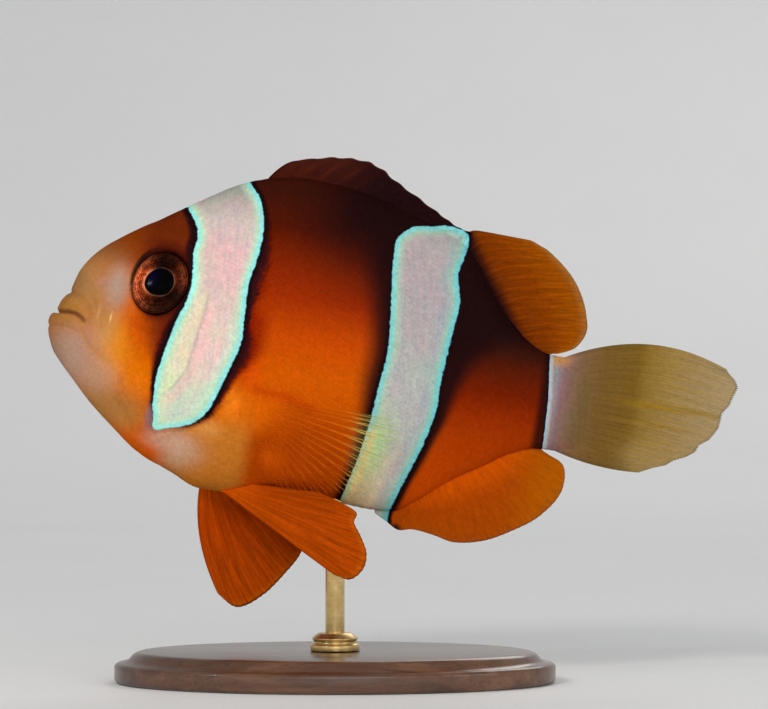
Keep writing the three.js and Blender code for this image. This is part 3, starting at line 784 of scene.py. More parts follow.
tint = shader_mix(markings, shader_step(markings, frost, 0.4, 0.7), tint, (0.88, 0.92, 0.97, 1))
pearl = shader_mix(markings, 1.0, given["Pearl"], tint, "MULTIPLY")
rim_colour = shader_mix(markings, 1.0, rim, given["Rim"], "MULTIPLY")
bar_colour = shader_mix(markings, shader_step(markings, depth, 0.5, 2.0), rim_colour, pearl)
both = shader_mix(markings, inside, shaded, bar_colour)
mottle = shader_step(markings, shader_noise(markings, spread, 1900, 3, 0.6), 0.25, 0.75, 0.92, 1.08)
tone = shader_math(markings, "MULTIPLY_ADD", given["Tone"], 0.1, 0.95)
strength = shader_math(markings, "MULTIPLY", mottle, tone)
markings.links.new(shader_scaled(markings, both, strength), result.inputs["Color"])


def lacquered(name, roughness, gloss, coat=0.0):
    """A new material with one Principled shader, its node tree and the shader."""
    material = bpy.data.materials.new(name)
    material.use_nodes = True
    shader = material.node_tree.nodes["Principled BSDF"]
    shader.inputs["Roughness"].default_value = roughness
    shader.inputs["Specular IOR Level"].default_value = gloss
    shader.inputs["Coat Weight"].default_value = coat
    shader.inputs["Coat Roughness"].default_value = 0.18
    return material, material.node_tree, shader


def marked(tree, tone):
    """The colour of the markings, from the values noted on a piece."""
    sockets = {"Tone": tone}
    for name, output in (
        ("Ground", "Color"), ("Pearl", "Color"), ("Rim", "Color"), ("Bar", "Fac"), ("Smudge", "Fac"),
        ("Strand", "Vector"), ("Edge", "Fac"),
    ):
        sockets[name] = shader_attribute(tree, name.lower(), output)
    return shader_node(tree, "ShaderNodeGroup", sockets, node_tree=markings).outputs["Color"]


SATIN = 0.45
EVEN_TONE = 0.5

skin_paint, tree, shader = lacquered("painted skin", SATIN, 0, 0.03)
spread = shader_place(tree)
pores = shader_noise(tree, spread, 3800, 3, 0.6)
wet = shader_step(tree, shader_noise(tree, spread, 500, 2), 0.3, 0.7, 0.36, 0.5)
fill(tree, shader, {
    "Base Color": marked(tree, EVEN_TONE), "Roughness": wet, "Normal": shader_bump(tree, pores, 0.3, 0.00006),
})

paint(skin_mesh, skin_places[:, 0], skin_places[:, 2])
flesh = ["head", "lower_jaw", "gill_cover_left", "gill_cover_right", "trunk", "tail_stem"]
make_piece("skin", skin_mesh, skin_paint, "skin", *flesh)

# ---- scales -----------------------------------------------------------------------------------------
# Small, thin scales set in overlapping rows from behind the snout to the root of the tail fin, their
# free edges to the rear. They are finest on the head, and the paint runs over them unbroken.

SCALE_PITCH = [[9, 0.44], [20, 0.52], [30, 0.68], [60, 0.66], [78, 0.5]]
SCALE_WIDTH = 1.34
SCALE_LENGTH = 1.75
SCALE_LIFT = 0.07
SCALE_CELLS = (3, 4)
BAKE_PATCH = 0.003
FIRST_COLUMN = 9.6
LAST_COLUMN = 80
COLUMN_STEP = 0.88
LEAST_COVER = 0.35

plate_form = bmesh.new()
bmesh.ops.create_grid(plate_form, x_segments=SCALE_CELLS[0], y_segments=SCALE_CELLS[1], size=1)
open_edges = [edge for edge in plate_form.edges if edge.is_boundary]
bmesh.ops.contextual_create(plate_form, geom=open_edges)
bmesh.ops.recalc_face_normals(plate_form, faces=plate_form.faces)
plate_form.verts.index_update()
plate = np.array([vertex.co[:] for vertex in plate_form.verts])
plate_faces = [[vertex.index for vertex in face.verts] for face in plate_form.faces]
top_up = sum(face.normal.z for face in plate_form.faces if len(face.verts) == 4) > 0
if not top_up:
    plate_faces = [face[::-1] for face in plate_faces]
plate_form.free()
plate_u = (plate[:, 0] + 1) / 2
plate_v = plate[:, 1]

pitch_at = through(SCALE_PITCH)
columns = [FIRST_COLUMN]
while columns[-1] < LAST_COLUMN:
    columns.append(columns[-1] + COLUMN_STEP * float(pitch_at(columns[-1])))
root_x = []
root_angle = []
for number, x in enumerate(columns):
    pitch = float(pitch_at(x))
    fan = np.linspace(0, math.pi / 2, 200)
    for sign in (1, -1):
        section = body_point(np.full(fan.shape, x), fan * sign)
        run = np.concatenate([[0], np.cumsum(np.linalg.norm(np.diff(section, axis=0), axis=1))])
        offset = 0.5 if number % 2 else 0.0
        rows = (np.arange(0 if sign > 0 else 1 - (number % 2), 200) + offset) * pitch
        rows = rows[rows < run[-1] - 0.1 * pitch]
        for angle in np.interp(rows, run, fan) * sign:
            root_x += [x, x]
            root_angle += [angle, math.pi - angle]
root_x = np.array(root_x)
root_angle = np.array(root_angle)
roots = skin_point(root_x, root_angle)
keep = scaled_part(roots[:, 0], roots[:, 2]) > LEAST_COVER
root_x, root_angle, roots = root_x[keep], root_angle[keep], roots[keep]
dice = np.random.RandomState(7)
scale_tone = dice.rand(len(root_x))
scale_turn = dice.normal(0, 0.1, len(root_x))
scale_size = 1 + dice.normal(0, 0.06, len(root_x))
root_x = root_x + dice.normal(0, 0.035, len(root_x))
root_angle = root_angle + dice.normal(0, 0.0016, len(root_x))
roots = skin_point(root_x, root_angle)

step = 0.05
run_x = np.linalg.norm(skin_point(root_x + step, root_angle) - roots, axis=1) / step
run_angle = np.linalg.norm(skin_point(root_x, root_angle + step / 10) - roots, axis=1) / (step / 10)
pitch = pitch_at(root_x) * scale_size * (0.6 + 0.4 * scaled_part(roots[:, 0], roots[:, 2]))

# One plate's outline, its tilt and its crown, grown along the skin from every root.
outline = np.sqrt(np.clip(1 - ((plate_u - 0.42) / 0.66) ** 2, 0, 1))
across = plate_v * outline * 0.5 * SCALE_WIDTH
along = plate_u - 0.16 * plate_v**2 * plate_u
along_mm = pitch[:, None] * SCALE_LENGTH * (along[None] - 0.3)
across_mm = pitch[:, None] * across[None]
turned_along = along_mm - scale_turn[:, None] * across_mm
turned_across = across_mm + scale_turn[:, None] * along_mm
grow_x = root_x[:, None] + turned_along / run_x[:, None]
grow_angle = root_angle[:, None] - turned_across / run_angle[:, None]
crown = 0.028 * (1 - plate_v**2) * np.sin(np.pi * np.clip(plate_u, 0, 1)) ** 0.7
lift = -0.05 + (SCALE_LIFT + 0.05) * plate_u**0.8 + crown
cover = scaled_part(roots[:, 0], roots[:, 2]) * smooth(80.2, 78, root_x)
lift_mm = lift[None] * pitch[:, None] / 0.7 - 0.16 * (1 - cover[:, None])
surface = skin_point(grow_x, grow_angle)
out = facing(skin_point, root_x, root_angle)
plates = surface + out[:, None] * lift_mm[..., None]

scale_paint, tree, shader = lacquered("painted scales", SATIN, 0, 0.012)
colour = marked(tree, shader_attribute(tree, "tone", "Fac"))
free_edge = shader_attribute(tree, "free edge", "Fac")
# Painted shade toward each scale's covered root, and a painted highlight along its free edge.
painted_pocket_shade = shader_step(tree, free_edge, 0.25, 0.75, 0.94, 1.0)
painted_edge_highlight = shader_step(tree, free_edge, 0.86, 1.0, 0.0, 0.05)
strength = shader_math(tree, "ADD", painted_pocket_shade, painted_edge_highlight)
growth = shader_noise(tree, shader_place(tree), 4200, 2)
fill(tree, shader, {
    "Base Color": shader_scaled(tree, colour, strength), "Normal": shader_bump(tree, growth, 0.25, 0.00005),
})


def lay_scales(name, chosen):
    """Joins the chosen scales into one piece of the coat."""
    count = len(chosen)
    vertices = in_frame(plates[chosen].reshape(-1, 3))
    shift = np.arange(count)[:, None] * len(plate)
    faces = [face + shift for face in map(np.array, plate_faces)]
    mesh = bpy.data.meshes.new(name)
    mesh.vertices.add(len(vertices))
    mesh.vertices.foreach_set("co", vertices.ravel())
    corners = np.concatenate([face.ravel() for face in faces])
    sizes = np.concatenate([np.full(count, face.shape[1]) for face in faces])
    starts = np.concatenate([[0], np.cumsum(sizes)[:-1]])
    mesh.loops.add(len(corners))
    mesh.loops.foreach_set("vertex_index", corners)
    mesh.polygons.add(len(sizes))
    mesh.polygons.foreach_set("loop_start", starts)
    mesh.polygons.foreach_set("loop_total", sizes)
    mesh.update(calc_edges=True)
    mesh.validate()
    places = plates[chosen].reshape(-1, 3)
    paint(mesh, places[:, 0], places[:, 2])
    note(mesh, "tone", np.repeat(scale_tone[chosen], len(plate)))
    note(mesh, "free edge", np.tile(plate_u, count))
    centre_u = (root_x[chosen] / SKIN_LENGTH) ** (1 / RING_CROWDING)
    centre_v = ((root_angle[chosen] / math.tau + 0.25) % 1) / UNWRAP_ROOM
    patch_u = centre_u[:, None] + (plate_u - 0.5)[None] * BAKE_PATCH
    patch_v = centre_v[:, None] + (plate_v / 2)[None] * BAKE_PATCH
    corner_vertex = corner_vertices(mesh)
    lay_uv(mesh, "OFBake", patch_u.ravel()[corner_vertex], patch_v.ravel()[corner_vertex])
    make_piece(name, mesh, scale_paint, "skin")
    mesh.set_sharp_from_angle(angle=math.radians(50))


left = np.cos(root_angle) < 0
for side_name, on_side in (("left", left), ("right", ~left)):
    for part_name, start, end in (("head", 0, 26), ("flank", 26, 46), ("rear", 46, 90)):
        chosen = np.flatnonzero(on_side & (root_x >= start) & (root_x < end))
        lay_scales("scales_" + part_name + "_" + side_name, chosen)

# ---- eyes -------------------------------------------------------------------------------------------
# Turned eyes with a dished, painted iris round a black pupil, each under a thin, clear dome.
# The gloss is on the pupil itself. They are pressed into the hollows of the head, and the skin's dark
# rim closes round them.

PUPIL = 2.02
EYE_PROFILE = [
    [0, 1.86], [0.5, 1.848], [1, 1.811], [1.5, 1.749], [1.85, 1.69], [1.95, 1.56], [2, 1.44], [2.06, 1.45],
    [2.15, 1.56], [2.35, 1.62], [2.7, 1.66], [3.1, 1.64], [3.5, 1.56], [3.8, 1.44], [4.05, 1.26], [4.25, 1],
    [4.32, 0.6], [4.1, 0.1], [3.4, -0.3], [1.8, -0.5], [0, -0.55],
]
CORNEA_EDGE = 4.2
CORNEA_FOOT = 1.2
CORNEA_RISE = 1.3
CORNEA_WALL = 0.07
IRIS_SPAN = 4.5


def lathed(profile, steps):
    """A profile of [radius, height] turned round the upright axis, closed at its ends on the axis."""
    turned_form = bmesh.new()
    points = [turned_form.verts.new((radius, 0, height)) for radius, height in profile]
    for start, end in zip(points[:-1], points[1:]):
        turned_form.edges.new((start, end))
    bmesh.ops.spin(
        turned_form, geom=turned_form.verts[:] + turned_form.edges[:], cent=(0, 0, 0), axis=(0, 0, 1),
        angle=math.tau, steps=steps, use_merge=True
    )
    bmesh.ops.remove_doubles(turned_form, verts=turned_form.verts, dist=1e-5)
    bmesh.ops.recalc_face_normals(turned_form, faces=turned_form.faces)
    return turned_form


def fine(profile, parts):
    """The same profile with rounded corners and shorter steps."""
    points = np.array(profile, float)
    run = np.concatenate([[0], np.cumsum(np.linalg.norm(np.diff(points, axis=0), axis=1))])
    places = np.linspace(0, run[-1], parts)
    radius = through(np.stack([run, points[:, 0]], axis=1).tolist())(places)
    height = through(np.stack([run, points[:, 1]], axis=1).tolist())(places)
    return np.stack([radius, height], axis=1)


def eye_mesh(name, turned_form, side):
    """Presses a turned form into one eye's hollow; its own X axis then points to the snout."""
    middle, out, up = eye_pose(side)
    ahead = np.cross(out, up) * -side
    mesh = poured(name, turned_form)
    local = vertex_places(mesh)
    angle = np.arctan2(local[:, 1], local[:, 0])
    radius = np.hypot(local[:, 0], local[:, 1])
    places = middle + local[:, :1] * ahead + local[:, 1:2] * EYE_TALL * up + local[:, 2:] * out
    mesh.vertices.foreach_set("co", in_frame(places).ravel())
    if side > 0:
        mesh.flip_normals()
    mesh.update()
    return mesh, radius, angle


iris_paint, tree, shader = lacquered("painted iris, glossy pupil", 0.5, 0.03, 0)
ring = shader_attribute(tree, "ring", "Fac")
spoke = shader_attribute(tree, "spoke", "Vector")
flecks_at = shader_node(tree, "ShaderNodeVectorMath", {0: spoke, 1: (3.2, 3.2, 1)}, operation="MULTIPLY")
flecks = shader_noise(tree, flecks_at.outputs[0], 3.0, 4, 0.65)
wander = shader_math(tree, "MULTIPLY_ADD", flecks, 0.5, ring)
wander = shader_math(tree, "SUBTRACT", wander, 0.25)
bands = shader_ramp(tree, shader_math(tree, "MULTIPLY", wander, 1 / IRIS_SPAN), [
    (0.46, (0.32, 0.05, 0.013)), (0.53, (0.64, 0.13, 0.035)), (0.61, (0.38, 0.045, 0.008)),
    (0.69, (0.54, 0.08, 0.017)), (0.79, (0.9, 0.2, 0.07)), (0.88, (0.74, 0.14, 0.045)),
    (0.94, (0.16, 0.035, 0.014)), (1, (0.012, 0.004, 0.003)),
])
# Painted light and the iris's own tone: bright toward the snout and a little behind, dark above and below;
# the gilt ring round the pupil follows it.
tone_and_painted_light = shader_attribute(tree, "tone_and_painted_light", "Fac")
speck = shader_step(tree, flecks, 0.35, 0.68, 0.35, 1.35)
hoops = shader_math(tree, "SINE", shader_math(tree, "MULTIPLY", wander, 19.0))
hoops = shader_step(tree, hoops, -0.9, 0.9, 0.45, 1.15)
lit = shader_math(tree, "MULTIPLY", shader_math(tree, "MULTIPLY", tone_and_painted_light, speck), hoops)
iris = shader_scaled(tree, bands, lit)
near_ring = shader_math(tree, "ABSOLUTE", shader_math(tree, "SUBTRACT", ring, PUPIL + 0.15))
gilt = shader_step(tree, tone_and_painted_light, 0.0, 1.0, 0.16, 1.0)
gilt = shader_math(tree, "MULTIPLY", shader_step(tree, near_ring, 0.1, 0.02), gilt)
iris = shader_mix(tree, gilt, iris, (0.72, 0.3, 0.16, 1))
hole = shader_step(tree, ring, PUPIL + 0.05, PUPIL - 0.01)
iris = shader_mix(tree, hole, iris, shader_attribute(tree, "deep", "Color"))
grit = shader_math(tree, "MULTIPLY", flecks, shader_step(tree, hole, 1.0, 0.0))
fill(tree, shader, {
    "Base Color": iris, "Roughness": shader_step(tree, hole, 0.0, 1.0, 0.5, 0.11),
    "Normal": shader_bump(tree, grit, 0.4, 0.0001),
})

cornea_clear, tree, shader = lacquered("clear cornea", 0.11, 0)
shader.inputs["Base Color"].default_value = (0, 0, 0, 1)
shader.inputs["Alpha"].default_value = 0.003

dome = []
for radius in np.linspace(0, CORNEA_EDGE, 30):
    dome.append([radius, CORNEA_FOOT + CORNEA_RISE * (1 - (radius / CORNEA_EDGE) ** 2) ** 0.75])
lining = [[radius, height - CORNEA_WALL] for radius, height in dome[::-1]]
for side_name, side in (("left", -1), ("right", 1)):
    mesh, radius, angle = eye_mesh("eyeball_" + side_name, lathed(fine(EYE_PROFILE, 110), 128), side)
    stretch = 0.957 + 0.088 * np.cos(2 * angle) + 0.04 * hill(angle + 0.3, 0.4)
    ring_at = radius / (1 + (stretch - 1) * smooth(3.4, 2.2, radius))
    note(mesh, "ring", ring_at)
    from_front = angle - 0.06
    from_back = (angle - 2.8 + math.pi) % math.tau - math.pi
    # Painted light and the iris's own tone: bright toward the snout and a little behind, dark above and
    # below.
    tone_and_painted_light = 0.006 + 1.2 * hill(from_front, np.where(from_front > 0, 0.66, 0.95)) + 0.24 * hill(from_back, 0.45)
    tone_and_painted_light = tone_and_painted_light + 0.03 * hill(angle - 2, 0.6) + 0.02 * hill(angle + 2.1, 0.6)
    note(mesh, "tone_and_painted_light", tone_and_painted_light)
    # A faint painted reflection, blue, in the pupil round where the eye light's glint falls.
    painted_blue_haze = hill(np.hypot(radius * np.cos(angle) - 1.1, radius * np.sin(angle) - 0.3), 0.9)
    note(mesh, "deep", np.array([0.001, 0.0008, 0.001]) + painted_blue_haze[:, None] * np.array([0.001, 0.0008, 0.012]))
    note(mesh, "spoke", np.stack([np.cos(angle), np.sin(angle), ring_at / IRIS_SPAN * 3], axis=-1))
    make_piece("eyeball_" + side_name, mesh, iris_paint, "eye", "eye_" + side_name)
    mesh, radius, angle = eye_mesh("cornea_" + side_name, lathed(dome + lining, 96), side)
    make_piece("cornea_" + side_name, mesh, cornea_clear, "eye")

# ---- fins -------------------------------------------------------------------------------------------
# Thin cast membranes over raised rays that fork toward the edge, the roots sunk into the body.
# Each is one closed sheet, folded over at its outer edge and thinning from root to edge.

ROOT_DEPTH = 1.2


def ray_curve(points):
    """A smooth curve through points, for places from 0 at the first to 1 at the last."""
    points = np.array(points, float)
    longer = np.vstack([2 * points[0] - points[1], points, 2 * points[-1] - points[-2]])

    def curve(place):
        place = np.clip(place, 0, 1) * (len(points) - 1)
        i = np.minimum(place.astype(int), len(points) - 2)
        t = (place - i)[..., None]
        p0, p1, p2, p3 = (longer[i + n] for n in range(4))
        gaps = ((p0, p1), (p1, p2), (p2, p3))
        d0, d1, d2 = (np.sqrt(np.linalg.norm(b - a, axis=-1, keepdims=True)) for a, b in gaps)
        leave = ((p1 - p0) / d0 - (p2 - p0) / (d0 + d1) + (p2 - p1) / d1) * d1
        arrive = ((p2 - p1) / d1 - (p3 - p1) / (d1 + d2) + (p3 - p2) / d2) * d1
        bend = 3 * (p2 - p1) - 2 * leave - arrive
        return p1 + leave * t + bend * t**2 + (2 * (p1 - p2) + leave + arrive) * t**3

    return curve


def off_ray(across, along, rays, first_fork, second_fork):
    """Distance from the nearest branch of a ray, as a share of the room between two rays."""
    place = across * rays
    offset = np.abs(place - np.floor(place) - 0.5)
    fork = 0.25 * smooth(first_fork, 1.05, along)
    twig = 0.125 * smooth(second_fork, 1.05, along)
    return np.abs(np.abs(offset - fork) - twig)


def fin_mesh(name, root, tips, bow, rays, forks, thick, ridge, ragged, cells, seed, paired=False):
    """A closed, ribbed sheet between a root and a curve through its tips, in the fish's millimetres.

    The bow says how it bellies between them. Thick is its thickness at the root and at the edge, and the
    share of its length in which it swells from nothing. Ragged is how deep the edge is cut back between
    the rays, how unevenly they end, and how wide a ray's own tip is.
    """
    root_curve, tip_curve = ray_curve(root), ray_curve(tips)
    sheet_form = bmesh.new()
    bmesh.ops.create_grid(sheet_form, x_segments=cells[0], y_segments=2 * cells[1], size=1)
    mesh = poured(name, sheet_form)
    flat = vertex_places(mesh)
    across = np.clip((flat[:, 0] + 1) / 2, 0, 1)
    folded = np.clip(flat[:, 1] + 1, 0, 2)
    along = 1 - np.abs(folded - 1)
    face = np.sign(1 - folded)
    luck = np.random.RandomState(seed).uniform(-1, 1, rays + 2)
    reach = 1 + ragged[1] * np.interp(across * rays, np.arange(rays + 2) - 0.5, luck)
    ends = off_ray(across, np.ones(len(across)), rays, *forks)
    reach = reach - ragged[0] * smooth(0.02, ragged[2], ends)

    def middle(u, v):
        start = root_curve(u)
        line = start + (tip_curve(u) - start) * (v * reach)[:, None]
        bowed = line + np.stack([bow(u, v)[i] + 0 * u for i in range(3)], axis=-1)
        if not paired:
            bowed[:, 1] += sway(bowed[:, 0])
        return bowed

    probe = 0.01
    u0, v0 = np.clip(across, 0, 1 - probe), np.clip(along, 0, 1 - probe)
    here = middle(u0, v0)
    normal = np.cross(middle(u0 + probe, v0) - here, middle(u0, v0 + probe) - here)
    normal /= np.maximum(np.linalg.norm(normal, axis=1, keepdims=True), 1e-9)
    off = off_ray(across, along, rays, *forks)
    width = 0.17 - 0.1 * smooth(forks[0], 1.05, along)
    ray = hill(off, width)
    fleshy = (1 - np.sqrt(along)) * np.sqrt(np.clip(1 - (2 * across - 1) ** 2, 0, 1))
    half = 0.5 * (thick[1] + (thick[0] - thick[1]) * fleshy) + ridge * ray * (1 - 0.6 * along)
    joints = 1 + 0.12 * np.cos(along * 90) * ray * smooth(0.3, 0.5, along)
    closing = np.sqrt(smooth(0, 0.03, 1 - along))
    closing = closing * np.sqrt(smooth(0, 0.02, across) * smooth(0, 0.02, 1 - across))
    half = half * joints * closing * smooth(0, thick[2], along)
    places = middle(across, along) + normal * (half * face)[:, None]
    mesh.vertices.foreach_set("co", in_frame(places).ravel())
    corner_vertex = corner_vertices(mesh)
    lay_uv(mesh, "spread", across[corner_vertex], folded[corner_vertex] / 2)
    note(mesh, "across", across * rays)
    note(mesh, "along", along)
    note(mesh, "ray", ray)
    return mesh, places, across, along, ray


def finish_fin(mesh, film, material, slot, node):
    """Notes how solid its film is, joins the sheet's two faces along their edges and makes it a piece."""
    note(mesh, "film", film)
    sheet_form = bmesh.new()
    sheet_form.from_mesh(mesh)
    bmesh.ops.remove_doubles(sheet_form, verts=sheet_form.verts, dist=1e-7)
    bmesh.ops.dissolve_degenerate(sheet_form, edges=sheet_form.edges, dist=1e-8)
    bmesh.ops.recalc_face_normals(sheet_form, faces=sheet_form.faces)
    sheet_form.to_mesh(mesh)
    sheet_form.free()
    make_piece(mesh.name, mesh, material, slot, node)


def fin_paint(name, ray_light, contrast):
    """Satin membrane: painted ground, fine streaks along the rays, and more or less clear film."""
    material, tree, shader = lacquered(name, SATIN, 0, 0.004)
    across = shader_math(tree, "MULTIPLY", shader_attribute(tree, "across", "Fac"), 5.0)
    along = shader_math(tree, "MULTIPLY", shader_attribute(tree, "along", "Fac"), 2.2)
    spread_at = shader_node(tree, "ShaderNodeCombineXYZ", {0: across, 1: along}).outputs[0]
    streak = shader_noise(tree, spread_at, 1.6, 4, 0.6)
    strength = shader_step(tree, streak, 0.3, 0.7, 1 - contrast, 1 + contrast)
    ray = shader_attribute(tree, "ray", "Fac")
    strength = shader_math(tree, "MULTIPLY", strength, shader_step(tree, ray, 0.1, 0.9, 1.0, ray_light))
    uneven = shader_step(tree, streak, 0.2, 0.8, 0.94, 1.06)
    film = shader_math(tree, "MULTIPLY", shader_attribute(tree, "film", "Fac"), uneven)
    fill(tree, shader, {
        "Base Color": shader_scaled(tree, marked(tree, EVEN_TONE), strength), "Alpha": film,
        "Normal": shader_bump(tree, streak, 0.5, 0.00008),
    })
    return material


def onto_middle(points):
    return [(x, 0.0, z) for x, z in points]


def mid_bar_depth(x, z):
    return np.clip(depth_inside(mid_loop, x, z), -BAR_LIMIT, BAR_LIMIT)


def no_bars(mesh, ground):
    note(mesh, "ground", ground)
    note(mesh, "pearl", ground)
    note(mesh, "bar", np.full(len(ground), -float(BAR_LIMIT)))


dark_film = fin_paint("dark spiny fin", 0.9, 0.14)
orange_film = fin_paint("orange fin", 1.05, 0.1)
rayed_film = fin_paint("orange fin with dark folds", 1.2, 0.2)
yellow_film = fin_paint("straw tail fin", 0.94, 0.12)

# The spiny part of the back fin: eleven stiff spines that lean to the rear, with the membrane cut back
# between their points. It is sooty, with a faint rust glow near its front edge.
root = onto_middle([(x, float(back(x)) - ROOT_DEPTH) for x in (27.2, 35, 42, 49.5, 57.2)])
tips = onto_middle([
    (32.2, 28.9), (37.6, 30.2), (42.6, 30.1), (47, 27.9), (52.6, 25), (56.3, 23.1), (58.8, 22.5),
])
mesh, places, across, along, ray = fin_mesh(
    "dorsal_spiny", root, tips,
    lambda u, v: (0, 0, 4.2 * v * (1 - v) * smooth(0.35, 0, u)), rays=11, forks=(1, 1),
    thick=(1.4, 0.16, 0.03), ridge=0.05, ragged=(0.035, 0.01, 0.45), cells=(176, 36), seed=3
)
x, z = places[:, 0], places[:, 2]
ground = washed(ground_colour(x, z), (0.013, 0.0035, 0.004), smooth(0.1, 0.35, along) * smooth(30, 38, x))
ground = washed(ground, (0.035, 0.008, 0.005), 0.8 * smooth(0.3, 0.9, along) * smooth(44, 36, x))
ground = washed(ground, (0.09, 0.014, 0.006), 0.7 * spot(x, z, 35, 29, 7, 4) * (0.4 + 0.6 * ray))
ground = washed(ground, (0.14, 0.03, 0.008), 0.35 * smooth(0.95, 1, along))
paint(mesh, x, z, ground)
finish_fin(mesh, np.ones(len(places)), dark_film, "dark_fin", "dorsal_fin_spiny")

# The soft part of the back fin: sixteen forked rays under an orange-brown membrane, clearer at its edge.
root = onto_middle([(57.1, 20.4), (59.4, 17.4), (62.4, 13.7), (65.5, 10.4), (69, 7.5), (72, 5.9)])
tips = onto_middle([
    (67.1, 22.9), (69.5, 22), (72.6, 19.9), (75.3, 17), (77, 13.6), (77.3, 10.6), (76, 8.4), (73.6, 7.2),
])
mesh, places, across, along, ray = fin_mesh(
    "dorsal_soft", root, tips,
    lambda u, v: (
        0, 1.6 * v * (1 - v), (2.7 - 1.1 * smooth(0, 0.7, u)) * (1 - v) * (1 - np.exp(-v / (0.06 + 0.5 * u)))
    ),
    rays=16, forks=(0.35, 0.7), thick=(1.4, 0.14, 0.03), ridge=0.035, ragged=(0.004, 0.008, 0.12),
    cells=(224, 50), seed=5
)
x, z = places[:, 0], places[:, 2]
ground = blended([
    [0, (0.13, 0.02, 0.001)], [0.5, (0.2, 0.037, 0.001)], [0.9, (0.26, 0.06, 0.001)], [1, (0.3, 0.11, 0.01)],
], along)
ground = washed(ground, SOOT, smooth(0.2, 0.04, along) * smooth(72, 64, x))
paint(mesh, x, z, ground, mid_bar_depth(x, z))
film = 1 - 0.25 * smooth(0.8, 1, along) * (1 - ray)
finish_fin(mesh, film, rayed_film, "orange_fin", "dorsal_fin_soft")

# The anal fin: two short spines and a dozen forked rays, orange, with a sooty corner in front.
root = onto_middle([(x, float(belly(x)) + ROOT_DEPTH) for x in (50.8, 53.4, 58, 63, 67.5, 72.5)])
tips = onto_middle([
    (51.2, -19.9), (53, -20.8), (54.9, -21.8), (57, -21.4), (60, -21.7), (63.2, -22.3), (67.2, -21.5),
    (71.4, -19.3), (75.2, -16.2), (77.7, -12), (77.1, -8.6), (74.6, -7.6),
])
mesh, places, across, along, ray = fin_mesh(
    "anal", root, tips, lambda u, v: (0, 1.6 * v * (1 - v), 0), rays=15, forks=(0.35, 0.7),
    thick=(1.5, 0.14, 0.05), ridge=0.03, ragged=(0.004, 0.006, 0.12), cells=(210, 44), seed=9
)
x, z = places[:, 0], places[:, 2]
ground = blended([
    [0, (0.6, 0.08, 0.001)], [0.2, (0.5, 0.07, 0.001)], [0.45, (0.35, 0.05, 0.001)],
    [1, (0.31, 0.052, 0.001)],
], along)
ground = washed(ground, (0.37, 0.09, 0.001), 0.8 * smooth(68, 77, x))
ground = washed(ground, SOOT, 0.95 * spot(x, z, 54.5, -21.6, 0.8, 0.7))
paint(mesh, x, z, ground, mid_bar_depth(x, z))
film = 1 - 0.15 * smooth(0.85, 1, along) * (1 - ray)
finish_fin(mesh, film, orange_film, "orange_fin", "anal_fin")

# The tail fin: forked rays in a fan, fleshy and olive at its root, thin and straw-coloured at its edge.
root = onto_middle([(73.4, 6.1), (73.2, 0), (73.4, -6.1)])
tips = onto_middle([
    (99.2, 9.2), (100.7, 6.8), (100, 3.4), (98.8, 0.6), (97.6, -1.8), (95.2, -4.2), (92, -6.3), (88.5, -8),
])
mesh, places, across, along, ray = fin_mesh(
    "tail_fin", root, tips, lambda u, v: (0, 0, (3.1 - 3.9 * u) * 4 * v * (1 - v)), rays=17,
    forks=(0.3, 0.6), thick=(4, 0.14, 0.02), ridge=0.03, ragged=(0.012, 0.018, 0.12), cells=(255, 64), seed=11
)
x, z = places[:, 0], places[:, 2]
no_bars(mesh, patched(pearl_colour(x, z), x, z, [
    ((0.3, 0.17, 0.01), 0.85, (92, 2, 8, 0.5)), ((0.3, 0.17, 0.02), 0.6, (90, -0.8, 5, 0.4)),
    (STRAW, 0.7, (89, -5.5, 4, 2.5)),
]))
film = 1 - 0.35 * smooth(0.4, 1, along) * (1 - 0.8 * ray)
finish_fin(mesh, film, yellow_film, "yellow_fin", "caudal_fin")

